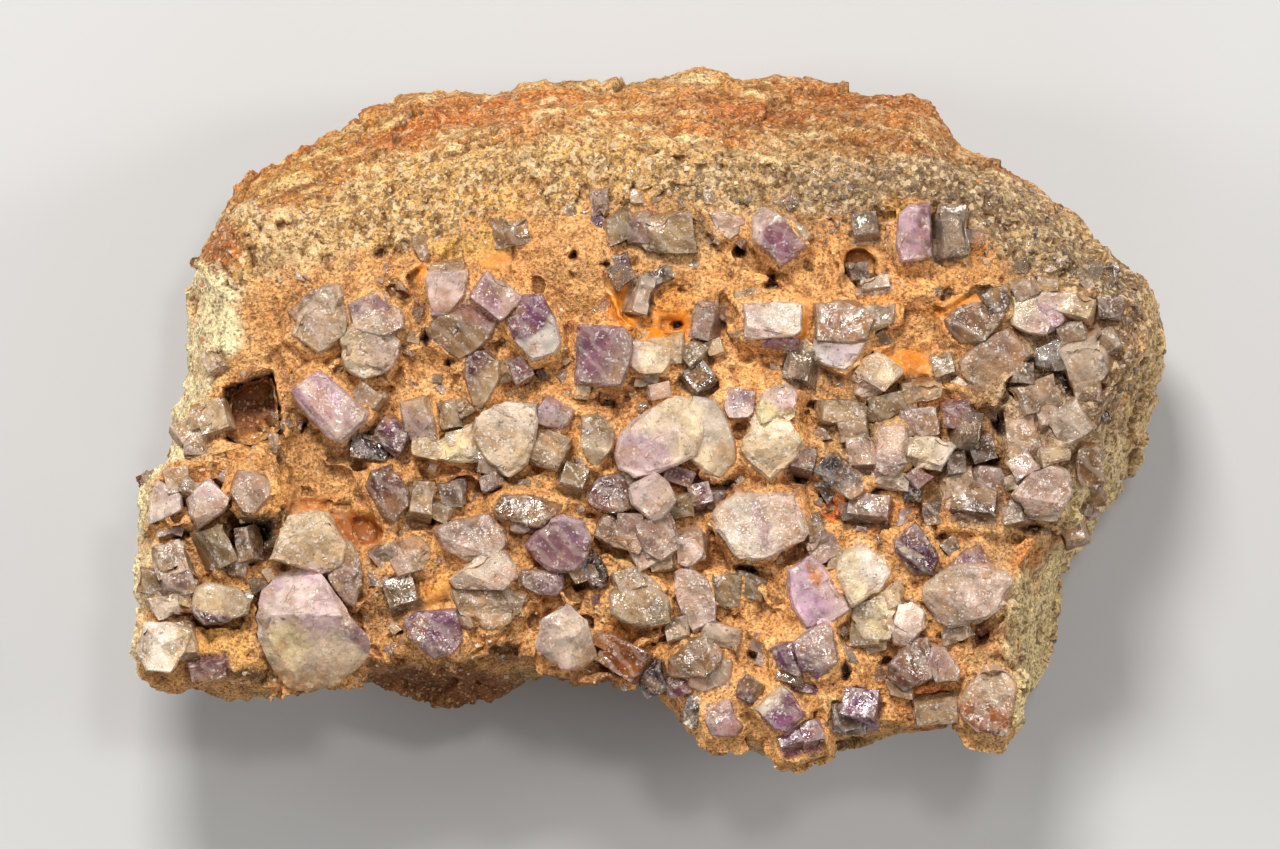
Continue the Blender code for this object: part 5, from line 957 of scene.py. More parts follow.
def rock_material():
    made = Nodes("stained_rock")
    tone = made.attribute("tone")
    coarse, hollow, smooth = made.split(made.attribute("kind"))[:3]
    rough_share = made.math("SUBTRACT", 1.0, made.math("MULTIPLY", smooth, 0.8))
    shade = made.range(made.noise(0.42, 4.0, 0.85), 0.34, 0.66, 0.42, 1.50)
    mottle = made.range(made.noise(2.6, 3.0, 0.7), 0.34, 0.66, 0.78, 1.20)
    colour = made.mix(1.0, made.mix(rough_share, tone, made.mix(1.0, tone, shade, "MULTIPLY")), mottle, "MULTIPLY")
    specks = made.cells(0.28, "Color")
    red, green = made.split(specks)[:2]
    dark_share = made.math("ADD", made.math("MULTIPLY", coarse, 0.04), 0.11)
    dark = made.math("MULTIPLY", made.math("LESS_THAN", red, dark_share), rough_share)
    colour = made.mix(made.math("MULTIPLY", dark, 0.6), colour, paint(92, 56, 32))
    pale = made.math("GREATER_THAN", green, 0.93)
    colour = made.mix(made.math("MULTIPLY", pale, 0.4), colour, paint(236, 202, 152))
    grain_cells = made.split(made.cells(0.6, "Color"))
    grain_dark = made.math("LESS_THAN", grain_cells[0], 0.20)
    grain_dark = made.math("MULTIPLY", grain_dark, made.math("MULTIPLY", coarse, 0.55))
    colour = made.mix(grain_dark, colour, paint(84, 62, 44))
    grain_pale = made.math("GREATER_THAN", grain_cells[1], 0.84)
    grain_pale = made.math("MULTIPLY", grain_pale, made.math("MULTIPLY", coarse, 0.52))
    colour = made.mix(grain_pale, colour, paint(236, 212, 172))
    # Painted shade: the hollows darkened further towards a deep brown.
    colour = made.mix(made.math("MULTIPLY", hollow, 0.35), colour, paint(80, 40, 18))
    made.link(colour, made.shader.inputs["Base Color"])
    glint = made.math("MULTIPLY", made.math("GREATER_THAN", grain_cells[2], 0.72), coarse)
    glint = made.math("MAXIMUM", glint, made.math("MULTIPLY", smooth, 0.75))
    made.link(made.range(glint, 0.0, 1.0, 0.82, 0.30), made.shader.inputs["Roughness"])
    rough = made.bump(made.math("MULTIPLY", made.noise(1.0, 2.0, 0.7), rough_share), 0.36, 0.8)
    rough = made.bump(made.math("MULTIPLY", made.noise(0.36, 2.0, 0.8), rough_share), 0.24, 1.0, rough)
    made.link(rough, made.shader.inputs["Normal"])
    made.shader.inputs["Specular IOR Level"].default_value = 0.35
    return made.material


def crystal_material(name, transmission, roughness, rough_more, glitter):
    """Fluorite: tinted, partly clear, with painted reflections of cleavage planes, veils, pinholes, frosted edges,
    painted glints and clinging clay.
    """
    made = Nodes(name)
    hue = made.attribute("hue")
    pale, broken, dust = made.split(made.attribute("wear"))[:3]
    cloud, fleck, fine = made.noise(2.6, 4.0, 0.65), made.noise(2.0, 2.0), made.noise(0.6, 3.0, 0.7)
    colour = made.mix(1.0, hue, made.range(cloud, 0.32, 0.68, 0.70, 1.34), "MULTIPLY")
    # Painted reflections of inner cleavage planes: some cells lighter, some darker.
    planes = made.split(made.cells(2.3, "Color"))
    colour = made.mix(1.0, colour, made.range(planes[0], 0.0, 1.0, 0.80, 1.16), "MULTIPLY")
    bands = made.math("MULTIPLY", made.range(made.bands(1.5), 0.55, 0.95), 0.22)
    colour = made.mix(bands, colour, paint(240, 222, 206))
    stain = made.math("MULTIPLY", made.range(made.noise(4.0, 2.0, 0.7), 0.54, 0.68), 0.50)
    colour = made.mix(stain, colour, paint(196, 146, 92))
    veil = made.math("MULTIPLY", made.range(made.noise(1.2, 4.0, 0.75, 2.0), 0.55, 0.66), 0.38)
    colour = made.mix(veil, colour, paint(244, 228, 214))
    worn = made.math("MULTIPLY", pale, made.range(fine, 0.40, 0.62, 0.0, 0.8))
    colour = made.mix(worn, colour, paint(246, 232, 216))
    colour = made.mix(made.math("MULTIPLY", broken, 0.3), colour, paint(214, 184, 150))
    cracks = made.range(made.cells(3.0, feature="DISTANCE_TO_EDGE"), 0.0, 0.020, 1.0, 0.0)
    cracks = made.math("MULTIPLY", cracks, made.range(fleck, 0.46, 0.60, 0.0, 0.8))
    colour = made.mix(cracks, colour, paint(140, 96, 58))
    dots = made.split(made.cells(0.24, "Color"))
    marks = made.range(fleck, 0.40, 0.58, 1.0, 0.0)
    dark = made.math("MULTIPLY", made.math("LESS_THAN", dots[0], 0.05), marks)
    colour = made.mix(made.math("MULTIPLY", dark, 0.55), colour, paint(92, 62, 50))
    # Painted glints: small white specks in the base colour.
    painted_glints = made.math("MULTIPLY", made.math("GREATER_THAN", dots[1], 0.86), made.range(fleck, 0.44, 0.60))
    colour = made.mix(made.math("MULTIPLY", painted_glints, 0.65), colour, paint(252, 246, 240))
    grime = made.math("MULTIPLY", dust, made.range(fine, 0.32, 0.62, 0.25, 1.0))
    colour = made.mix(grime, colour, made.mix(fine, paint(140, 86, 44), paint(204, 148, 88)))
    made.link(colour, made.shader.inputs["Base Color"])
    frost = made.range(made.noise(1.1, 2.0, 0.75), 0.38, 0.64, roughness, rough_more)
    frost = made.math("ADD", frost, made.math("MULTIPLY", pale, 0.2))
    made.link(made.math("ADD", frost, made.math("MULTIPLY", grime, 0.5)), made.shader.inputs["Roughness"])
    steps = made.bump(made.noise(1.5, 2.0, 0.6), 0.12, 0.6)
    steps = made.bump(made.noise(0.45, 1.0, 0.8), glitter, 0.9, steps)
    made.link(steps, made.shader.inputs["Normal"])
    made.shader.inputs["Transmission Weight"].default_value = transmission
    made.shader.inputs["IOR"].default_value = FLUORITE_INDEX
    if transmission > 0.5:
        absorb = made.tree.nodes.new("ShaderNodeVolumeAbsorption")
        absorb.inputs["Color"].default_value = (0.90, 0.84, 0.86, 1.0)
        absorb.inputs["Density"].default_value = 60.0
        made.link(absorb.outputs["Volume"], made.tree.nodes["Material Output"].inputs["Volume"])
    return made.material


KINDS = {
    "vitreous": crystal_material("fluorite_vitreous", 0.42, 0.05, 0.32, 0.06),
    "frosted": crystal_material("fluorite_frosted", 0.30, 0.12, 0.44, 0.14),
    "clear": crystal_material("fluorite_clear", 0.86, 0.03, 0.24, 0.07),
}


# ------------------------------------------------------------------ the crystals

CREASE = {"vitreous": 20, "frosted": 14, "clear": 16}  # sharpest angle that stays smooth, in degrees


def sharp_edges(made, least=24):
    return [edge for edge in made.edges if len(edge.link_faces) == 2 and edge.calc_face_angle() > math.radians(least)]


def dress_crystal(points, faces, seed, rough=1.0, cut=EDGE_CUT, grain=CRYSTAL_GRAIN, crust=None):
    """Worn edges, an even fine mesh, chips along the edges and etched faces. Gives a mesh in mm."""
    made = bmesh.new()
    places = [made.verts.new(point) for point in points]
    for face in faces:
        if made.faces.get([places[corner] for corner in face]) is None:
            made.faces.new([places[corner] for corner in face])
    bmesh.ops.dissolve_limit(made, angle_limit=math.radians(2), verts=made.verts, edges=made.edges)
    marks = []
    for edge in sharp_edges(made):
        start, end = edge.verts[0].co, edge.verts[1].co
        steps = max(int((end - start).length / 0.3), 1)
        marks += [start.lerp(end, step / steps) for step in range(steps + 1)]
    segments = 3 if cut > EDGE_CUT else 2
    bmesh.ops.bevel(
        made, geom=sharp_edges(made), offset=cut, segments=segments, profile=0.55, affect="EDGES", clamp_overlap=True,
    )
    bmesh.ops.triangulate(made, faces=made.faces)
    for _ in range(6):
        long = [edge for edge in made.edges if edge.calc_length() > grain]
        if not long:
            break
        bmesh.ops.subdivide_edges(made, edges=long, cuts=1, use_grid_fill=False)
        bmesh.ops.triangulate(made, faces=made.faces)
    mesh = bpy.data.meshes.new("crystal")
    made.normal_update()
    made.to_mesh(mesh)
    made.free()
    points, normals = read_points(mesh), read_normals(mesh)
    lookup = place_lookup(marks or [Vector((0, 0, 0))])
    away = np.array([lookup.find(point)[2] for point in points.tolist()])
    edge = 1 - ramp(away, 0.0, WEAR_REACH)
    bite = ramp(lumps(points, 1.5, seed), 0.05, 0.8) * edge
    big_bite = ramp(lumps(points, 2.8, seed + 3), 0.25, 0.8) * (1 - ramp(away, 0.0, 2.2))
    terrace = np.floor(lumps(points, 3.4, seed + 4) * 2.5) / 2.5
    etched = 0.02 * lumps(points, 0.8, seed + 1) + 0.05 * lumps(points, 2.6, seed + 2) + 0.08 * terrace * (1 - edge)
    etched = etched + 0.10 * (rough - 0.5) * facets(points, 1.5, seed + 9)
    shift = etched - rough * (0.30 * bite + 0.60 * big_bite) - 0.06 * rough
    warp = [lumps(points, 4.2, seed + 6), lumps(points, 4.2, seed + 7), 0.5 * lumps(points, 5.0, seed + 8)]
    write_points(mesh, points + normals * shift[:, None] + 0.14 * rough * np.stack(warp, 1))
    root = points[:, 2].max() - 2.3 if crust is None else crust
    dust = 1 - ramp(points[:, 2] - root + 0.7 * lumps(points, 1.7, seed + 5), -0.5, DUST_RISE)
    pale = np.clip(edge * 0.25 + bite * 0.8, 0, 1)
    wear = np.stack((pale, big_bite, dust), 1)
    return mesh, wear


# The great crystal: a cube seen over an edge that runs along the slab, with its corners cut. Heights over the face
GREAT = [
    (-43.2, -19.2, 1.4), (-40.8, -20.4, 3.2), (-46.4, -20.2, 1.4), (-48.6, -22.4, 2.4), (-49.3, -26.0, 3.4),
    (-47.0, -25.4, 5.8), (-42.4, -25.0, 7.4), (-38.2, -25.6, 6.3), (-34.6, -28.8, 3.2), (-35.3, -31.4, 1.2),
    (-38.8, -34.6, 0.2), (-43.0, -35.6, -0.4), (-45.4, -34.8, -0.4), (-47.4, -32.4, 0.8), (-48.9, -29.2, 2.6),
    (-43.2, -21.0, -3.2), (-48.0, -24.0, -3.2), (-36.4, -29.4, -3.2), (-43.0, -34.0, -3.2), (-47.0, -31.0, -3.2),
    (-39.0, -33.4, -3.2),
]
# The prominent crystal over the front edge: a bright face with a ridge, and a shaded face beside it
FRONT = [
    (-10.2, -32.5, 3.2), (-9.0, -27.4, 5.0), (-8.1, -25.6, 4.4), (-13.7, -26.0, 3.4), (-14.5, -29.8, 3.0),
    (-11.4, -32.5, 2.6), (-10.3, -23.9, 3.2), (-6.4, -30.8, 0.8), (-8.7, -32.7, 0.8), (-7.3, -27.2, 1.8),
    (-10.4, -25.0, -3.2), (-13.8, -29.4, -3.2), (-10.6, -32.0, -3.2), (-7.4, -30.6, -3.2),
]
OVERHANGING = ("fluorite_great_lilac", "fluorite_white_point")  # they stand out over the edge, bare of crust

# The crystals of each CAD node: its finish, the width of the flat on its edges, then its crystals. Each has two
# colours, the direction in degrees in which the second takes over, where along that way (0 to 1), how soft the
# change is, and how much deeper and warmer it is than the named colours. Then come the height of the top, the
# direction in which it leans down, how much it drops and the corners of its outline, or else the solid itself:
# its points over the face, or None for the CAD solid as it is.
CRYSTALS = {
    "fluorite_banded_brick": ("vitreous", EDGE_CUT, [
        ("mauve", "grey_lilac", 330, 0.6, 0.4, 0.5, 3.8, 200, 1.0, [
            (-9, 10.6), (-3.2, 10.2), (-2.2, 8.5), (-2.8, 5), (-3.6, 3), (-9.3, 3.4),
        ]),
        ("lilac_pale", "cream", 0, 0.35, 0.3, 0, 2.8, 20, 1.0, [
            (-3.4, 9), (-0.2, 8.4), (2.7, 7.8), (2.5, 6), (1.6, 4.7), (-1.6, 4.8), (-3, 5.8),
        ]),
    ]),
    "fluorite_big_grey_pink": ("frosted", 0.7, [
        ("grey", "pink", 20, 0.5, 0.4, 0.75, 4.0, 60, 1.6, [
            (34.1, -22.4), (36, -20.3), (38.6, -19.6), (42.6, -19.4), (44.9, -20.6), (45.3, -21.6), (44.4, -24),
            (41, -25.5), (36.6, -27.2), (35.3, -25.6), (34.3, -23.8),
        ]),
        ("mauve", "grey_lilac", 300, 0.5, 0.4, 1, 3.2, 80, 1.4, [
            (36.8, -19.8), (38.8, -18), (41, -16.8), (43, -19.2), (42.4, -20.6), (37.4, -20.8),
        ]),
    ]),
    "fluorite_big_white": ("frosted", 0.5, [
        ("white", "pink", 10, 0.55, 0.6, 0.75, 4.2, 80, 1.6, [
            (8, -13), (9.4, -11.6), (11, -10.4), (18.2, -10.3), (19.5, -15.2), (18.9, -16.4), (14.6, -18.3),
            (11, -18.7), (9.8, -16.8), (8.4, -14.8),
        ]),
    ]),
    "fluorite_black_glitter": ("frosted", EDGE_CUT, [
        ("grey_dark", "smoky", 130, 0.35, 0.2, -0.5, 3.0, 30, 1.4, [
            (22, -5.4), (23.6, -5.5), (26.8, -8.4), (26.6, -10.2), (25.2, -11.1), (23.6, -10.1), (20.2, -7.6),
        ]),
    ]),
    "fluorite_blue_cube": ("vitreous", EDGE_CUT, [
        ("blue_lilac", "grey_lilac", 300, 0.5, 0.5, 0.25, 2.8, 250, 0.8, [
            (-12.8, 1.9), (-9.4, 0.1), (-10.4, -2.2), (-11.3, -2.7), (-14.8, -1.4), (-14, 0.2),
        ]),
    ]),
    "fluorite_clear_pair_right": ("clear", EDGE_CUT, [
        ("clear", "white", 260, 0.5, 0.4, -1.25, 2.8, 90, 1.0, [
            (48.1, 7.8), (50.8, 9), (51.5, 8.4), (51.1, 6.2), (49.6, 5.3), (48.3, 5.8),
        ]),
    ]),
    "fluorite_cream_block_left": ("frosted", EDGE_CUT, [
        ("white", "cream", 0, 0.6, 0.3, 0.75, 3.0, 110, 1.2, [
            (-63.2, -26.6), (-59.4, -26.8), (-57.2, -27.4), (-58, -30), (-60, -32.6), (-62.8, -32.4), (-63.8, -30),
        ]),
    ]),
    "fluorite_cream_diamond": ("frosted", 0.4, [
        ("beige", "cream", 100, 0.6, 0.4, 0, 2.8, 280, 1.2, [
            (13.2, -0.3), (12, -3.2), (11.2, -5.4), (12.5, -6.7), (14.9, -8.8), (17, -7), (19.3, -4.8), (17.8, -2.5),
            (16.8, -0.6),
        ]),
        ("yellow", "lilac_pale", 70, 0.5, 0.2, 0.5, 3.0, 60, 1.0, [
            (13.2, 0.2), (14.2, 2.2), (15.4, 3.3), (16.9, 3.4), (18.2, 2), (17.6, 0.8), (17.3, -1.2), (14, -1.8),
        ]),
    ]),
    "fluorite_cream_mass": ("frosted", 0.6, [
        ("cream", "white", 90, 0.5, 0.5, 1, 3.4, 250, 1.4, [
            (-21.6, -1), (-19.6, -0.1), (-17.6, 1), (-14, 0.9), (-14.2, -1.2), (-15.4, -3.2), (-15.2, -6.6),
            (-17.6, -8.4), (-20.4, -6), (-21.8, -3.2),
        ]),
        ("cream", "yellow", 180, 0.5, 0.5, 0.5, 2.2, 180, 1.2, [
            (-27.4, -4.4), (-24.8, -3.4), (-22.4, -1.6), (-21, -3.4), (-20.4, -6.2), (-23.8, -6.4), (-26.6, -6.2),
        ]),
    ]),
    "fluorite_cream_shard": ("frosted", EDGE_CUT, [
        ("white", "pink", 290, 0.55, 0.3, 1, 3.6, 60, 1.6, [
            (-25, -21.1), (-20.8, -18), (-18.5, -17.2), (-16.8, -19.5), (-16.6, -20.9), (-17.9, -22.1),
            (-24.3, -22.2),
        ]),
        ("olive", "beige", 270, 0.4, 0.4, 0.75, 2.0, 90, 1.2, [
            (-25, -22.1), (-17.8, -22), (-15, -22.9), (-16.1, -25), (-19.5, -27.9), (-21.6, -25.6),
        ]),
    ]),
    "fluorite_cream_triangle": ("frosted", EDGE_CUT, [
        ("cream", "pink", 240, 0.55, 0.3, 0.75, 3.4, 60, 1.4, [
            (28.4, 7.3), (31.7, 5), (30.6, 4.2), (27.6, 1.8), (25.6, 2.2), (25.1, 4), (26.6, 6),
        ]),
    ]),
    "fluorite_cream_white_mass": ("frosted", 0.6, [
        ("white", "cream", 200, 0.55, 0.3, 0.25, 4.0, 60, 1.4, [
            (24, -17.6), (26.4, -16.5), (29.2, -18.5), (29.9, -20.4), (28.4, -22.8), (25.2, -24.5), (24.2, -22),
            (23.2, -19.6),
        ]),
        ("cream", "green_grey", 200, 0.5, 0.3, -0.5, 2.6, 200, 1.0, [
            (25.4, -24.2), (28, -23.2), (30.8, -22.4), (30.6, -25.4), (29.8, -28.8), (26.8, -28.6), (25.3, -26.4),
        ]),
        ("white", "pink", 280, 0.4, 0.4, 0.25, 3.4, 60, 1.2, [
            (31, -24.2), (32.6, -23.3), (34.3, -25), (34.3, -27), (31.8, -29.4), (30.6, -29), (30, -27),
        ]),
    ]),
    "fluorite_deep_purple": ("vitreous", EDGE_CUT, [
        ("purple", "mauve", 90, 0.6, 0.3, 1.25, 3.6, 60, 1.4, [
            (30.4, -16), (33.2, -14.1), (34.8, -16.2), (35.9, -18.4), (35.2, -20.3), (32.8, -20.6), (31.6, -18.8),
        ]),
        ("grey", "cream", 90, 0.5, 0.4, 0, 3.7, 240, 1.2, [
            (31, -17.2), (33.6, -17), (34.2, -18.2), (32.6, -20.2), (31.9, -19.2),
        ]),
    ]),
    "fluorite_dusty_purple": ("vitreous", 0.5, [
        ("mauve", "grey_lilac", 320, 0.6, 0.4, 1.75, 2.8, 70, 1.0, [
            (-7.7, -10), (-6.3, -8.2), (-3, -7.9), (-2.6, -10.2), (-1.7, -12.7), (-5, -12.8), (-7.5, -12),
        ]),
    ]),
    "fluorite_great_lilac": ("vitreous", 0.35, [
        ("cream", "lilac_pale", 80, 0.5, 0.35, -0.1, GREAT),
    ]),
    "fluorite_great_rounded": ("vitreous", 1.3, [
        ("lilac_pale", "cream", 40, 0.5, 0.4, -0.1, 3.8, 230, 1.6, [
            (2.8, 1.6), (0.8, 0.2), (-2, -1.2), (-3.9, -3.4), (-4.6, -5.5), (-3.9, -7.1), (-2.2, -8.3), (0.2, -8.1),
            (3, -7), (5.6, -5.6), (6.8, -2.5), (6.2, 1.2),
        ]),
        ("cream", "clear", 60, 0.45, 0.4, -0.1, 3.2, 330, 1.6, [
            (5.4, 1.6), (8.3, 1.2), (9.3, -0.5), (10.3, -3.5), (10.8, -6.3), (8.6, -8.7), (6.6, -7.6), (5, -6),
            (4.8, -1),
        ]),
    ]),
    "fluorite_grey_bar": ("vitreous", 0.5, [
        ("grey_lilac", "beige", 330, 0.6, 0.4, 2, 2.8, 80, 1.2, [
            (-19.5, -12.5), (-18.5, -10.4), (-14.8, -10.7), (-10.9, -11.8), (-12, -13.3), (-13.6, -14.6),
            (-16, -14.1), (-19, -13.4),
        ]),
    ]),
    "fluorite_grey_beige_mass": ("vitreous", 0.5, [
        ("grey", "beige", 320, 0.5, 0.5, 1.75, 3.2, 60, 1.4, [
            (2.5, -31.2), (4.8, -28.7), (7.2, -28.1), (9.2, -30), (8.6, -32), (4.6, -33.2), (2.5, -33.3),
        ]),
        ("grey_lilac", "grey", 0, 0.5, 0.5, 0.25, 2.4, 300, 1.4, [
            (4.8, -32.4), (8, -30.8), (10.2, -31.2), (10.1, -34.6), (6.6, -35.2), (4.8, -34.6),
        ]),
    ]),
    "fluorite_grey_lilac_pair": ("vitreous", EDGE_CUT, [
        ("grey_lilac", "grey", 300, 0.55, 0.4, 1.75, 2.8, 60, 1.2, [
            (36.8, 11.2), (38.2, 12.6), (40.2, 13.4), (44.2, 12.8), (44.6, 11.8), (42.6, 10), (40.6, 8.5),
            (38.8, 8.3), (37.4, 9.8),
        ]),
    ]),
    "fluorite_grey_lozenge": ("frosted", EDGE_CUT, [
        ("cream", "lilac_pale", 330, 0.4, 0.3, 1, 2.8, 100, 1.2, [
            (45.1, 14.2), (49.6, 15.2), (50.8, 12.4), (49.6, 9.4), (47.4, 9.6), (45.2, 10.4),
        ]),
        ("lilac", "white", 60, 0.5, 0.4, 0.75, 2.4, 30, 1.2, [
            (49, 15), (53.4, 14.4), (53, 12.4), (50.9, 10.4), (49.4, 9.6), (48.4, 12),
        ]),
    ]),
    "fluorite_grey_pink_bar": ("frosted", EDGE_CUT, [
        ("grey_lilac", "pink", 280, 0.5, 0.4, 1, 3.0, 70, 1.4, [
            (-27, -14.8), (-24, -13.5), (-20, -13), (-17.8, -15.2), (-18, -16.9), (-21, -18.6), (-23.3, -18.9),
            (-26, -17.2),
        ]),
        ("grey_lilac", "beige", 340, 0.55, 0.3, 0.75, 2.8, 120, 1.2, [
            (-33.1, -18.2), (-31.3, -16.1), (-28.8, -15.8), (-27.2, -17.4), (-28.4, -19.9), (-31.5, -20.9),
        ]),
    ]),
    "fluorite_grey_quartz_right": ("frosted", EDGE_CUT, [
        ("grey", "pink", 60, 0.6, 0.3, 1.0, None),
    ]),
    "fluorite_grey_rhomb": ("frosted", EDGE_CUT, [
        ("grey", "grey_lilac", 60, 0.6, 0.4, 1.25, 2.4, 300, 1.6, [
            (44.6, 10.3), (47.6, 7), (44.6, 4), (42, 1.7), (40.8, 2), (38.6, 4.6), (38.8, 6.2), (41.4, 8.4),
        ]),
    ]),
    "fluorite_grey_row": ("frosted", EDGE_CUT, [
        ("grey_lilac", "pink", 90, 0.5, 0.4, 0.75, 3.0, 100, 1.2, [
            (28.7, -2.2), (31.8, -1.7), (32.3, -6.6), (30.6, -8.2), (27.9, -8.8), (27.8, -7.2), (28.3, -4.8),
        ]),
        ("cream", "white", 0, 0.5, 0.4, 0.5, 2.6, 70, 1.0, [
            (32, -3.2), (36.6, -3.4), (38.1, -4.6), (36.2, -7.6), (34.6, -7.2), (32, -6.8),
        ]),
    ]),
    "fluorite_grey_slab": ("vitreous", EDGE_CUT, [
        ("beige", "grey_lilac", 250, 0.4, 0.4, 0.5, 2.8, 200, 1.0, [
            (-31.2, 0.9), (-27.8, 1.9), (-27.3, 0.4), (-28, -1.2), (-26.7, -3.8), (-29, -4.8), (-30.6, -2.6),
        ]),
    ]),
    "fluorite_lilac_brick": ("vitreous", 0.35, [
        ("lilac", "lilac_pale", 325, 0.62, 0.25, 0.5, 4.0, 40, 1.6, [
            (-44.9, 2.2), (-44, 3), (-41.5, 4.7), (-40.6, 4.5), (-35.2, -0.2), (-35.6, -1.4), (-38.6, -4),
            (-39.8, -3.6), (-44, 0.8),
        ]),
    ]),
    "fluorite_lilac_cluster_left": ("frosted", 0.4, [
        ("grey", "beige", 250, 0.6, 0.4, 0.75, 3.0, 200, 1.4, [
            (-44.9, 9.2), (-43.8, 12), (-40.6, 15.8), (-38.6, 15.6), (-37.8, 12.2), (-38.6, 9), (-41.2, 7.1),
        ]),
        ("grey_lilac", "white", 240, 0.6, 0.4, 1.25, 3.4, 80, 1.4, [
            (-37.4, 13.2), (-34.8, 14.8), (-30.8, 12.4), (-30.6, 10), (-33, 9.2), (-37, 10),
        ]),
        ("pink", "cream", 200, 0.5, 0.4, 0.75, 3.2, 290, 1.4, [
            (-38.8, 9.2), (-38, 5.2), (-36, 3.9), (-32, 5.4), (-30.8, 8.2), (-34, 10.6), (-37.2, 10.8),
        ]),
    ]),
    "fluorite_lilac_cube_bottom": ("vitreous", EDGE_CUT, [
        ("lilac_pale", "lilac", 320, 0.4, 0.3, 1, 2.4, 290, 1.4, [
            (6.7, -36.7), (9.9, -36.1), (11.5, -39.6), (10.6, -40.7), (7.6, -40.5), (6.7, -38.4),
        ]),
    ]),
    "fluorite_lilac_cube_small": ("vitreous", EDGE_CUT, [
        ("mauve", "lilac_pale", 250, 0.4, 0.4, 0, 2.8, 80, 0.8, [
            (9.9, 3), (13.2, 2.3), (12.9, -0.2), (12.2, -0.9), (9.8, -1), (9.2, 0.6),
        ]),
    ]),
    "fluorite_lilac_leaf": ("vitreous", EDGE_CUT, [
        ("lilac", "lilac_pale", 0, 0.6, 0.4, -0.25, 3.4, 340, 1.4, [
            (17.1, -20), (20.3, -18.3), (21.6, -19.6), (23, -21.8), (25, -24.9), (22.8, -25.7), (22, -27),
            (19.6, -27.2), (18, -24.6), (17.4, -22.4),
        ]),
    ]),
    "fluorite_lilac_triple": ("vitreous", EDGE_CUT, [
        ("lilac_pale", "mauve", 265, 0.72, 0.12, 0.25, 3.6, 300, 1.0, [
            (-27.8, 16.2), (-27.2, 17.2), (-22.9, 17.5), (-22.8, 14.8), (-25, 11.8), (-27.2, 11.6),
        ]),
        ("mauve", "grey_lilac", 40, 0.45, 0.5, 0, 3.4, 60, 1.2, [
            (-20.4, 17.4), (-15.8, 14.2), (-16, 13.2), (-18.7, 11.2), (-22.5, 14), (-22.3, 14.8),
        ]),
        ("mauve", "olive", 235, 0.32, 0.3, 0.5, 2.4, 250, 1.2, [
            (-22.9, 13.8), (-18.7, 11.2), (-20, 9), (-22.3, 7), (-24, 6.2), (-27.1, 8.6), (-27.8, 10), (-26.4, 11.9),
        ]),
    ]),
    "fluorite_lilac_upright_top": ("vitreous", EDGE_CUT, [
        ("lilac", "mauve", 12, 0.6, 0.08, 0.5, 4.4, 170, 1.2, [
            (31, 24.4), (32.2, 25.4), (34.9, 25.8), (35, 19.2), (33.6, 18.8), (31.4, 18.5), (30.8, 20.6),
        ]),
    ]),
    "fluorite_mauve_brown": ("vitreous", EDGE_CUT, [
        ("grey_lilac", "mauve", 200, 0.5, 0.5, 1.75, 3.2, 60, 1.4, [
            (32.6, -28.2), (34.8, -28.6), (35.2, -31), (35.2, -33.6), (31.6, -34.9), (29.7, -33.2), (30, -31.6),
        ]),
        ("lilac", "pink", 280, 0.5, 0.4, 1.25, 3.0, 20, 1.4, [
            (35.2, -29.4), (36.8, -29.8), (38.8, -32.4), (38.4, -33.7), (35.6, -34.1), (34.6, -31.6),
        ]),
    ]),
    "fluorite_mauve_cube": ("vitreous", EDGE_CUT, [
        ("mauve", "grey_lilac", 300, 0.5, 0.4, 1.75, 3.4, 20, 1.4, [
            (-34.8, -7.6), (-32.2, -6.9), (-30.2, -10), (-30, -12), (-31.9, -14), (-33.3, -13.4), (-35.6, -9.6),
        ]),
    ]),
    "fluorite_mauve_rounded": ("vitreous", 0.9, [
        ("mauve", "lilac", 60, 0.62, 0.2, 0.5, 4.0, 240, 1.4, [
            (-15.6, -16.8), (-14.4, -15.6), (-12.2, -13.8), (-10.8, -13.2), (-8.4, -13.9), (-7.5, -16.2), (-8.2, -19),
            (-9.6, -20.1), (-12.8, -19.8), (-14.6, -18.3),
        ]),
        ("grey_lilac", "mauve", 300, 0.5, 0.4, 1, 2.4, 60, 1.0, [
            (-16.3, -20), (-11, -20), (-10.7, -22), (-11.8, -23.3), (-14.2, -22.9), (-16, -22),
        ]),
        ("dark_purple", "purple", 250, 0.6, 0.4, 2, 2.2, 20, 1.0, [
            (-8.4, -18.4), (-6.8, -17.8), (-5.3, -20.2), (-5.5, -22.1), (-7, -22.4), (-8.9, -20),
        ]),
    ]),
    "fluorite_mauve_row": ("frosted", EDGE_CUT, [
        ("grey_lilac", "pink", 330, 0.5, 0.4, 1.75, 2.6, 100, 1.0, [
            (-7, -15.5), (-5.8, -13), (-2.8, -13.6), (0.2, -15.5), (-1.5, -18.2), (-4.8, -17),
        ]),
        ("pink", "grey_lilac", 100, 0.5, 0.4, 1.25, 2.8, 60, 1.0, [
            (-0.8, -14.2), (1.4, -13.6), (3.2, -15), (3.4, -17.4), (1.4, -19), (-1, -17.6),
        ]),
        ("lilac_pale", "pink", 250, 0.5, 0.4, 0.5, 2.8, 20, 1.0, [
            (3, -15.8), (6.6, -15.6), (6.7, -17.6), (5, -19.4), (3.4, -18.8),
        ]),
    ]),
    "fluorite_olive_block": ("vitreous", 0.8, [
        ("beige", "green_grey", 280, 0.5, 0.4, 0.75, 3.4, 70, 1.6, [
            (-5, -22.8), (-4, -21.9), (-2.2, -20.1), (-0.4, -20.7), (2.2, -23), (2.6, -26.4), (-0.5, -27),
            (-3.4, -26.4), (-4.9, -25.2),
        ]),
    ]),
    "fluorite_olive_wedge": ("vitreous", EDGE_CUT, [
        ("olive", "cream", 262, 0.55, 0.25, 0.25, 3.0, 80, 1.4, [
            (-8.6, -0.8), (-5.6, -0.4), (-4.4, -2.4), (-4.8, -4.6), (-6.6, -7), (-7.7, -6.8), (-8.2, -4.2),
        ]),
    ]),
    "fluorite_pair_bottom": ("vitreous", EDGE_CUT, [
        ("violet", "mauve", 0, 0.5, 0.3, 1.0, None),
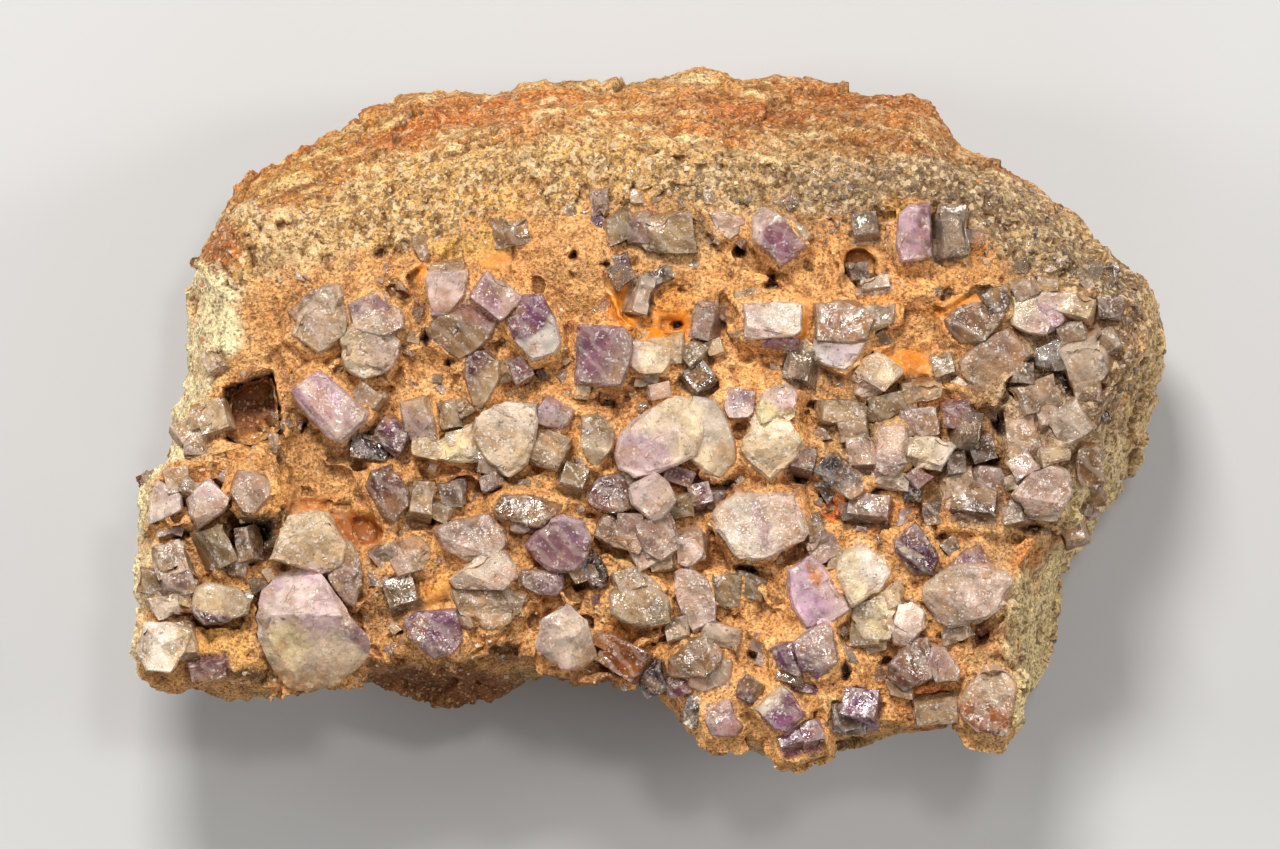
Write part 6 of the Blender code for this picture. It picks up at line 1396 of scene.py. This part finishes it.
    ]),
    "fluorite_pale_behind_great": ("frosted", 0.6, [
        ("beige", "cream", 110, 0.6, 0.5, 0.5, 4.0, 300, 1.6, [
            (-45, -13.2), (-41.5, -12.7), (-40.4, -13), (-37.8, -16.6), (-38.2, -19.4), (-41, -20.2), (-44.2, -19.2),
            (-47.5, -18.6), (-45.8, -15.8),
        ]),
        ("beige", "grey_lilac", 300, 0.45, 0.4, 1.25, 2.8, 330, 1.2, [
            (-40.6, -15.8), (-37.4, -16.6), (-36.3, -18.8), (-36.2, -22), (-36.8, -24.8), (-38.9, -23.4),
            (-41.2, -19.8),
        ]),
    ]),
    "fluorite_pale_pair": ("vitreous", EDGE_CUT, [
        ("pink", "lilac_pale", 200, 0.5, 0.4, 1.75, 3.6, 100, 1.4, [
            (20.5, 13.2), (24.8, 13.8), (28.4, 12), (27, 9), (25, 8.4), (20.8, 8.5),
        ]),
        ("grey_lilac", "white", 260, 0.5, 0.4, -1, 2.8, 270, 1.4, [
            (20.6, 8.9), (25.6, 9), (27.4, 9.2), (25.4, 5.8), (24.2, 5.1), (20.3, 6.1),
        ]),
        ("grey", "cream", 220, 0.5, 0.4, 0.75, 2.2, 20, 0.8, [
            (26.6, 13), (30.6, 13.4), (30.3, 11), (27.4, 9.8), (26.4, 10.6),
        ]),
    ]),
    "fluorite_pale_top": ("frosted", EDGE_CUT, [
        ("pink", "white", 250, 0.5, 0.4, 0.25, 2.6, 300, 1.4, [
            (7.4, 24.6), (9.8, 24.8), (12.6, 23.4), (11, 22.2), (10, 21.4), (8.2, 22.4),
        ]),
    ]),
    "fluorite_pink_cube_left": ("vitreous", EDGE_CUT, [
        ("pink", "lilac_pale", 60, 0.5, 0.5, 0.5, 3.6, 110, 1.2, [
            (-55, -8.6), (-52.5, -11), (-53.4, -12.6), (-56.4, -14.9), (-57.4, -12.6), (-58, -11),
        ]),
        ("lilac_pale", "white", 250, 0.5, 0.4, 0.25, 2.2, 170, 1.2, [
            (-61.6, -9), (-58.6, -10.4), (-58.6, -12.4), (-62.6, -14.4), (-62.4, -11),
        ]),
    ]),
    "fluorite_pink_grey_right": ("frosted", EDGE_CUT, [
        ("grey_lilac", "pink", 250, 0.45, 0.4, 1, 3.0, 80, 1.4, [
            (47.6, -7.8), (50, -6.9), (52.2, -7.6), (52.8, -10), (51.2, -13.2), (47.4, -13.4), (45.2, -10.6),
        ]),
    ]),
    "fluorite_pink_grey_rounded": ("frosted", 0.8, [
        ("pink", "lilac_pale", 270, 0.5, 0.5, 1, 3.0, 180, 1.2, [
            (3.2, -20.2), (5, -19.5), (6.8, -20.8), (8.1, -23.6), (8.2, -26.4), (5.4, -27.7), (4.2, -25.4),
            (2.9, -22.8),
        ]),
        ("green_grey", "olive", 60, 0.5, 0.5, 0.25, 2.0, 30, 1.0, [
            (7.6, -21), (11.4, -20.6), (11.8, -23), (9.6, -25), (8.2, -24),
        ]),
    ]),
    "fluorite_pink_white_cube": ("vitreous", EDGE_CUT, [
        ("pink", "lilac_pale", 140, 0.6, 0.2, 0.25, 3.8, 250, 1.2, [
            (0.7, -7.8), (-2.9, -9.8), (-2.2, -11.9), (0.4, -13.8), (1.6, -13.4), (3.2, -11.2), (2.2, -9.2),
        ]),
    ]),
    "fluorite_purple_brick_top": ("vitreous", EDGE_CUT, [
        ("lilac_pale", "mauve", 320, 0.32, 0.1, 0.5, 4.2, 300, 1.6, [
            (12.9, 24), (14, 25.2), (15.4, 24.6), (19.4, 20.6), (17.2, 18.6), (16.1, 18), (12.9, 21.2),
        ]),
    ]),
    "fluorite_purple_capped": ("vitreous", EDGE_CUT, [
        ("purple", "white", 300, 0.56, 0.06, 0, 4.2, 330, 1.6, [
            (-15.6, 14.2), (-13.4, 14.4), (-11.9, 11.1), (-11.3, 8.4), (-12, 7.2), (-14.7, 6.2), (-16.2, 8.3),
            (-17.9, 11.5),
        ]),
    ]),
    "fluorite_purple_grey_knot": ("vitreous", EDGE_CUT, [
        ("purple", "cream", 320, 0.45, 0.3, 1.25, 2.8, 200, 1.2, [
            (-23.2, 6.2), (-20.8, 7.6), (-18.8, 6), (-18.9, 3.8), (-20.3, 2), (-21, -0.2), (-22, 0.6), (-23.1, 4.2),
        ]),
    ]),
    "fluorite_purple_rose": ("vitreous", EDGE_CUT, [
        ("violet", "mauve", 280, 0.6, 0.3, 0.75, 3.2, 70, 1.6, [
            (-30.5, -26), (-29, -25.1), (-24.2, -24.9), (-23.5, -29), (-25, -30.3), (-27, -31), (-28, -29.8),
            (-29.6, -27.8),
        ]),
    ]),
    "fluorite_purple_translucent": ("vitreous", EDGE_CUT, [
        ("grey_lilac", "violet", 220, 0.62, 0.2, 0.5, 3.8, 80, 1.4, [
            (17.8, -29), (19.8, -27.4), (21.6, -26.6), (22.6, -27.4), (23.5, -31.2), (20.8, -33.7), (19, -33),
        ]),
        ("purple", "violet", 100, 0.5, 0.4, 0.75, 2.6, 200, 1.2, [
            (15, -29.7), (17.8, -28.8), (19.4, -32.6), (18.6, -33.4), (16.2, -32.4),
        ]),
    ]),
    "fluorite_purple_white_face": ("vitreous", EDGE_CUT, [
        ("white", "violet", 318, 0.34, 0.05, 0.5, 3.4, 330, 1.4, [
            (12.9, -37.2), (16.3, -34.5), (17.2, -35.2), (19.5, -37.8), (17.2, -40.1), (15.6, -39.7),
        ]),
        ("purple", "grey", 30, 0.55, 0.2, 1.75, 2.6, 150, 1.2, [
            (10.7, -34.4), (12.1, -32.7), (14.5, -34.6), (13.2, -36.8), (12.3, -36.7), (10.9, -35.7),
        ]),
    ]),
    "fluorite_silver_brick": ("frosted", EDGE_CUT, [
        ("white", "lilac_pale", 200, 0.5, 0.5, 0.5, 4.0, 80, 1.4, [
            (11.6, 13.2), (15.2, 13.6), (18.9, 13.3), (18.8, 9.8), (17.8, 9.0), (13, 8.8), (11.8, 8.9),
        ]),
        ("mauve", "purple", 260, 0.5, 0.5, -0.5, 2.0, 270, 1.8, [
            (12.8, 9.4), (18.2, 9.8), (18.6, 8.2), (17.8, 7.4), (14.6, 7.9),
        ]),
    ]),
    "fluorite_smoky_grey": ("vitreous", EDGE_CUT, [
        ("grey_dark", "grey", 90, 0.6, 0.4, 1.0, None),
    ]),
    "fluorite_sparkly_hex": ("frosted", EDGE_CUT, [
        ("grey_lilac", "grey", 250, 0.5, 0.5, 1.25, 3.8, 90, 1.2, [
            (-51.4, -7.4), (-49, -7.6), (-47.4, -8.2), (-47.3, -10.6), (-49, -12.9), (-50.6, -12.8), (-52.4, -10.4),
        ]),
    ]),
    "fluorite_sparkly_knob": ("frosted", 1.1, [
        ("white", "orange", 262, 0.56, 0.14, 1.5, 2.8, 90, 1.2, [
            (39, -35.4), (40.6, -33.3), (43.2, -32.1), (45.1, -33), (45.8, -34.4), (45.1, -38.6), (43.6, -40.5),
            (40.8, -40), (38.9, -38),
        ]),
    ]),
    "fluorite_white_lumps_left": ("frosted", 0.7, [
        ("grey", "yellow", 250, 0.62, 0.3, 1.0, None),
    ]),
    "fluorite_white_point": ("vitreous", 0.25, [
        ("white", "lilac_pale", 200, 0.6, 0.3, 0.75, FRONT),
    ]),
    "fluorite_yellow_block": ("vitreous", 0.9, [
        ("cream", "purple", 255, 0.68, 0.16, 0.75, 3.4, 120, 1.0, [
            (-56.6, -22.4), (-55.4, -21.6), (-51.8, -22.2), (-49.9, -23.8), (-50.2, -25.4), (-53, -26.4),
            (-55.6, -26.8), (-57, -25),
        ]),
    ]),
}


def deeper(colour, depth):
    return colour * (1 - depth * np.array((0.30, 0.38, 0.46)))


def crystal_hues(points, look):
    """Two colours that meet along a direction in the plan, with a wavy border."""
    first, second, toward, middle, soft, depth = look
    way = np.array((math.cos(math.radians(toward)), math.sin(math.radians(toward))))
    along = points[:, :2] @ way
    share = (along - along.min()) / (along.max() - along.min())
    share = share + 0.10 * lumps(points, 2.5, 21)
    weight = ramp(share, middle - soft / 2, middle + soft / 2)
    hues = blend(np.tile(CRYSTAL_COLOURS[first], (len(points), 1)), CRYSTAL_COLOURS[second], weight)
    plan = to_table(points) + 0.4 * np.stack((lumps(points, 1.4, 22), lumps(points, 1.4, 23)), 1)
    for x, y, wide, deep, turn, tint, strength in SPOTS:
        if abs(plan - np.array((x, y))).sum(1).min() < 2:
            inside = 1 - ramp(oval_distance(plan, x, y, wide, deep, turn), 0.75, 1.15)
            hues = blend(hues, CRYSTAL_COLOURS[tint], inside * strength)
    return deeper(hues, depth)


def finish_crystal(mesh, wear, hues, kind):
    write_colour(mesh, "hue", hues)
    write_colour(mesh, "wear", wear)
    write_points(mesh, read_points(mesh) * MM)
    mesh.polygons.foreach_set("use_smooth", np.ones(len(mesh.polygons), bool))
    mesh.set_sharp_from_angle(angle=math.radians(CREASE[kind]))
    mesh.materials.append(KINDS[kind])


def joined_crystals(parts, kind):
    """One finished mesh from dressed crystals, each given as points in mm, faces, colours and wear."""
    mesh = join_meshes([part[:2] for part in parts])
    hues, wear = (np.concatenate([part[place] for part in parts]) for place in (2, 3))
    finish_crystal(mesh, wear, hues, kind)
    return mesh


def drawn_crystal(top, lean, drop, outline, level):
    """A crystal from its outline. It shows one leaning face, or a cube's two faces that meet in a ridge."""
    corners = grown_ring(np.array(outline) + TABLE_ZERO, 0.3)
    middle = np.mean(corners, axis=0)
    way = np.array((math.cos(math.radians(lean)), math.sin(math.radians(lean))))
    reach = max(abs((corner - middle) @ way) for corner in corners)
    ridge = -0.35 if (round(lean) // 10 + len(outline)) % 2 else -2.0  # where the ridge runs, as a share of the reach
    points = []
    for corner in corners:
        place = (corner - middle) @ way / reach
        if place >= ridge:
            height = top - drop * 0.5 * (place + (0.35 if ridge > -1 else 1.0))
        else:
            height = top - (ridge - place) * 2.2
        height = max(height, 0.9)
        points.append((*(middle + (corner - middle) * 0.90), level + height))
        points.append((*corner, level + max(0.6, height - 0.9)))
        points.append((*(middle + (corner - middle) * 0.95), level - 3.0))
    if ridge > -1:
        across = np.array((-way[1], way[0]))
        spread = [(corner - middle) @ across for corner in corners]
        for end in (min(spread), max(spread)):
            points.append((*(middle + way * ridge * reach + across * end * 0.72), level + top))
    return hull(points)


def crystal_shapes(node, rows):
    """The solids that make up a node's crystals, in mm, with their colours."""
    look, points = rows[0][:6], rows[0][6]
    if points is None:
        return [(welded(*cad_mesh(node)), look)]
    if isinstance(points, list):
        return [(hull([np.add(place, (*TABLE_ZERO, FACE_LEVEL)) for place in points]), look)]
    level = cad_mesh(node)[0][:, 2].max() - max(row[6] for row in rows) - 0.6
    level = min(max(level, FACE_LEVEL - 0.8), FACE_LEVEL + 1.6)
    return [(drawn_crystal(*row[6:], level), row[:6]) for row in rows]


def make_crystals(shapes):
    for number, (node, (kind, cut, _)) in enumerate(CRYSTALS.items()):
        rough = 1.5 if kind == "frosted" else 1.0
        parts = []
        for shape, hues, (rim, rise) in shapes[node]:
            seed = 30 + number + 17 * len(parts)
            mesh, wear = dress_crystal(*shape, seed, rough, cut, crust=rim + rise)
            faces = [list(face.vertices) for face in mesh.polygons]
            parts.append((read_points(mesh), faces, crystal_hues(read_points(mesh), hues), wear))
        mesh = joined_crystals(parts, kind)
        piece = new_piece(node.replace("fluorite_", "crystal_"), mesh, node)


def hull(points):
    """The convex solid around some points: its points and faces."""
    made = bmesh.new()
    for point in points:
        made.verts.new(point)
    found = bmesh.ops.convex_hull(made, input=made.verts)
    spare = {part for part in found["geom_interior"] + found["geom_unused"] if isinstance(part, bmesh.types.BMVert)}
    bmesh.ops.delete(made, geom=list(spare), context="VERTS")
    made.verts.index_update()
    places = np.array([tuple(corner.co) for corner in made.verts])
    faces = [[corner.index for corner in face.verts] for face in made.faces]
    made.free()
    return places, faces


def shard(x, y, wide, deep, yaw, proud, chance):
    """A small broken crystal: a brick with its corners moved or cut, leaning some way."""
    points, faces = brick(0, 0, wide, deep, yaw, chance.uniform(4, 20), chance.uniform(0, 360), 0.0, 3.0)
    middle = points.mean(0)
    moved = []
    for point in points:
        if chance.random() < 0.25:  # a cut corner
            for _ in range(2):
                share = chance.uniform(0.62, 0.9)
                spread = np.array([chance.uniform(-0.22, 0.22) * wide, chance.uniform(-0.22, 0.22) * deep, 0])
                moved.append(middle + (point - middle) * np.array((share, share, 1.0)) + spread)
        else:
            moved.append(middle + (point - middle) * chance.uniform(0.88, 1.08))
    shift = np.array((x, y, proud))
    return hull([tuple(point + shift) for point in moved])


def brick(x, y, wide, deep, yaw, lean, toward, proud, sunk=2.2, taper=0.1):
    """A small crystal's points (mm, frame) and faces: a leaning brick that narrows a little upwards."""
    points = []
    for level in (0, 1):
        share = 1 - taper if level else 1 + taper / 2
        height = 0.0 if level else -proud - sunk
        for way_x, way_y in ((-1, -1), (1, -1), (1, 1), (-1, 1)):
            points.append(Vector((way_x * wide / 2 * share, way_y * deep / 2 * share, height)))
    away = Vector((-math.sin(math.radians(toward)), math.cos(math.radians(toward)), 0.0))
    turn = Matrix.Rotation(math.radians(lean), 4, away) @ Matrix.Rotation(math.radians(yaw), 4, "Z")
    middle = Vector((x + TABLE_ZERO[0], y + TABLE_ZERO[1], FACE_LEVEL + proud))
    faces = [[3, 2, 1, 0], [4, 5, 6, 7], [0, 1, 5, 4], [1, 2, 6, 5], [2, 3, 7, 6], [3, 0, 4, 7]]
    return np.array([tuple(turn @ point + middle) for point in points]), faces


def make_chips():
    for number, (x, y, wide, deep, yaw, lean, toward, proud, colour) in enumerate(CHIPS):
        grown = 0.5  # over the plain chip that the rock has there
        shape = brick(x, y, wide + grown, deep + grown, yaw, lean, toward, proud + grown / 2)
        mesh, wear = dress_crystal(*shape, seed=120 + number, crust=FACE_LEVEL + proud - 2.6)
        hues = np.tile(deeper(CRYSTAL_COLOURS[colour], 0.0 if colour == "clear" else 1.1), (len(mesh.vertices), 1))
        finish_crystal(mesh, wear, hues, "clear" if colour == "clear" else "vitreous")
        piece = new_piece(f"chip_{number + 1:02d}", mesh)


def make_small(shapes, surface):
    """The lower crystals, and crystal bits in the gaps between the others, in one piece for each finish."""
    chance = Random(SEED)
    parts = {"vitreous": [], "frosted": [], "clear": []}
    taken = [ring(row[0][0]) for rows in shapes.values() for row in rows]
    solids = []
    for x, y, wide, deep, yaw, proud, colour in SMALL:
        shape = shard(x, y, 1.12 * wide + 0.5, 1.12 * deep + 0.5, yaw, proud + 0.4, chance)
        solids.append((shape, colour))
        taken.append(ring(shape[0]))
    taken += [ring(brick(*row[:8])[0]) for row in CHIPS]
    taken += [ring(outline) + TABLE_ZERO for outline, smooth in MOULDS if smooth > 0.5]
    for x, y, wide, deep in BARE:
        corners = [(x - wide, y - deep), (x + wide, y - deep), (x + wide, y + deep), (x - wide, y + deep)]
        taken.append(np.array(corners) + TABLE_ZERO)
    free = FreeGround(taken)
    for x, y, height, _, size, colour in free.places(FILLERS, surface, chance):
        wide, deep = size * chance.uniform(0.85, 1.25), size * chance.uniform(0.7, 1.0)
        shape = shard(0, 0, wide, deep, chance.uniform(0, 180), 0.0, chance)
        shape = (shape[0] + np.array((x, y, height + 0.12 * size)) - np.array((*TABLE_ZERO, FACE_LEVEL)), shape[1])
        solids.append((shape, colour))
    for number, (shape, colour) in enumerate(solids):
        mesh, wear = dress_crystal(*shape, 300 + number % 200, 1.3, grain=0.8)
        faces = [list(face.vertices) for face in mesh.polygons]
        kind = "clear" if colour == "clear" else "frosted" if number % 3 == 0 else "vitreous"
        hues = deeper(CRYSTAL_COLOURS[colour], -0.4 if colour == "clear" else 1.1) * chance.uniform(0.80, 1.15)
        parts[kind].append((read_points(mesh), faces, np.tile(hues, (len(mesh.vertices), 1)), wear))
    for kind, rows in parts.items():
        new_piece(f"small_crystals_{kind}", joined_crystals(rows, kind))
    return free


class FreeGround:
    """The plan of the slab in small squares, for finding room between the crystals."""

    STEP = 0.25  # size of a square
    LOW, SPAN = np.array((-72.0, -50.0)), (144, 100)

    def __init__(self, outlines):
        self.taken = np.zeros([int(span / self.STEP) for span in self.SPAN], bool)
        spots = np.argwhere(~self.taken) * self.STEP + self.LOW
        for outline in outlines:
            chosen, depth = near_outline(spots, outline, 0.5)
            inside = chosen[depth > -0.15]
            self.taken.flat[inside] = True

    def is_free(self, x, y, reach):
        for share in (0.0, 0.5, 1.0):
            for step in range(10):
                turn = step * math.tau / 10
                column = int((x + share * reach * math.cos(turn) - self.LOW[0]) / self.STEP)
                row = int((y + share * reach * math.sin(turn) - self.LOW[1]) / self.STEP)
                off_plan = not (0 <= column < self.taken.shape[0] and 0 <= row < self.taken.shape[1])
                if off_plan or self.taken[column, row]:
                    return False
        return True

    def take(self, x, y, reach):
        steps = int(reach / self.STEP) + 1
        column, row = int((x - self.LOW[0]) / self.STEP), int((y - self.LOW[1]) / self.STEP)
        for over in range(-steps, steps + 1):
            for along in range(-steps, steps + 1):
                if math.hypot(over, along) * self.STEP <= reach:
                    self.taken[column + over, row + along] = True

    def places(self, rows, surface, chance):
        """Free places on the rock, big ones first: x, y, height, the rock's normal, size and colour."""
        for x, y, wide, deep, tries, least, most, closeness, colours in rows:
            for attempt in range(tries):
                size = most - (most - least) * (attempt / tries) ** 0.6
                spot = chance.uniform(x - wide, x + wide), chance.uniform(y - deep, y + deep)
                spot = spot[0] + TABLE_ZERO[0], spot[1] + TABLE_ZERO[1]
                if not self.is_free(*spot, size * closeness):
                    continue
                hit, normal = surface.ray_cast(Vector((*spot, RAY_START)), DOWN)[:2]
                if hit is None or hit.z < FACE_LEVEL - 12 or abs(normal.z) < 0.55:
                    continue
                self.take(*spot, size * closeness)
                yield (*spot, hit.z, normal, size, chance.choice(colours))


def make_grains(free, surface):
    """Loose-looking grains of quartz, fluorite and crust, half sunk in the rock."""
    chance = Random(SEED + 1)
    moulds = []
    for _ in range(14):
        corners = []
        for _ in range(10):
            corner = Vector([chance.gauss(0, 1) for _ in range(3)]).normalized()
            corners.append(corner * chance.uniform(0.8, 1.1))
        stretch = np.array((1.0, chance.uniform(0.6, 1.0), chance.uniform(0.45, 0.8)))
        moulds.append(hull([tuple(np.array(corner) * stretch) for corner in corners]))
    parts = {"frosted": [], "clear": []}
    for x, y, height, normal, size, colour in free.places(GRAINS, surface, chance):
        points, faces = chance.choice(moulds)
        turn = normal.to_track_quat("Z", "Y").to_matrix() @ Matrix.Rotation(chance.uniform(0, math.tau), 3, "Z")
        points = points @ np.array(turn).T * size / 2 + np.array((x, y, height))
        hues = CRYSTAL_COLOURS[colour] * chance.uniform(0.8, 1.2)
        kind = "clear" if colour in ("clear", "white") else "frosted"
        wear = (0.1, 0.0, 0.10 if kind == "frosted" else 0.0)
        parts[kind].append((points, faces, np.tile(hues, (len(points), 1)), np.tile(wear, (len(points), 1))))
    for kind, rows in parts.items():
        new_piece(f"grains_{kind}", joined_crystals(rows, kind))


# ------------------------------------------------------------------ light, floor and camera

def area_light(name, place, size, power, colour=(1.0, 1.0, 1.0)):
    data = bpy.data.lights.new(name, "AREA")
    data.shape = "RECTANGLE"
    data.size, data.size_y = size
    data.energy = power
    data.color = colour
    lamp = bpy.data.objects.new(name, data)
    bpy.context.scene.collection.objects.link(lamp)
    lamp.location = place
    aim = Vector((0.0, 0.0, FACE_LEVEL * MM)) - Vector(place)
    lamp.rotation_euler = aim.to_track_quat("-Z", "Y").to_euler()


def make_stage():
    made = bmesh.new()
    bmesh.ops.create_grid(made, x_segments=1, y_segments=1, size=3.0)
    mesh = bpy.data.meshes.new("floor")
    made.to_mesh(mesh)
    made.free()
    floor = bpy.data.objects.new("floor", mesh)
    bpy.context.scene.collection.objects.link(floor)
    material = bpy.data.materials.new("pale_floor")
    material.use_nodes = True
    shader = material.node_tree.nodes["Principled BSDF"]
    shader.inputs["Base Color"].default_value = (0.50, 0.50, 0.50, 1.0)
    shader.inputs["Roughness"].default_value = 0.9
    mesh.materials.append(material)
    floor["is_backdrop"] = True


def make_light():
    area_light("key", (-0.14, 0.56, 0.72), (0.24, 0.18), 8.5, (1.0, 0.98, 0.95))
    area_light("top", (0.16, 0.24, 0.98), (0.12, 0.10), 1.9, (1.0, 0.98, 0.96))
    area_light("fill_left", (-0.72, 0.05, 0.46), (0.22, 0.40), 2.1, (1.0, 0.98, 0.96))
    area_light("fill_right", (0.78, 0.10, 0.46), (0.20, 0.34), 3.0, (1.0, 0.98, 0.96))
    area_light("front", (0.05, -0.75, 0.55), (0.50, 0.20), 0.9)
    world = bpy.data.worlds.new("studio")
    bpy.context.scene.world = world
    world.use_nodes = True
    world.node_tree.nodes["Background"].inputs["Color"].default_value = (1.0, 0.98, 0.95, 1.0)
    world.node_tree.nodes["Background"].inputs["Strength"].default_value = 0.20
    bpy.context.scene.view_settings.view_transform = "Standard"


def make_camera():
    data = bpy.data.cameras.new("camera")
    data.sensor_width = SENSOR
    data.lens = SENSOR * CAMERA_DISTANCE / VIEW_WIDTH
    data.clip_end = 10.0
    camera = bpy.data.objects.new("camera", data)
    bpy.context.scene.collection.objects.link(camera)
    camera.location = (
        (VIEW_CENTRE[0] + TABLE_ZERO[0]) * MM,
        (VIEW_CENTRE[1] + TABLE_ZERO[1]) * MM,
        (FACE_LEVEL + CAMERA_DISTANCE) * MM,
    )
    bpy.context.scene.camera = camera


def write_sizes():
    """The CAD model's box and this model's box, as lists; nothing writes or compares them."""
    rows = [[list(map(float, corner)) for corner in box] for box in (CAD_BOX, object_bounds())]


cad_rock = BVHTree.FromPolygons(*[list(map(list, rows)) for rows in cad_mesh("fluorite_matrix")])
all_shapes = {}
for name, (_, _, crystals) in CRYSTALS.items():
    solids = crystal_shapes(name, crystals)
    all_shapes[name] = [(shape, look, crust_levels(shape[0], cad_rock)) for shape, look in solids]
rock_surface = make_rock(cad_rock, all_shapes)
make_crystals(all_shapes)
make_chips()
make_grains(make_small(all_shapes, rock_surface), rock_surface)
make_stage()
make_light()
make_camera()
write_sizes()
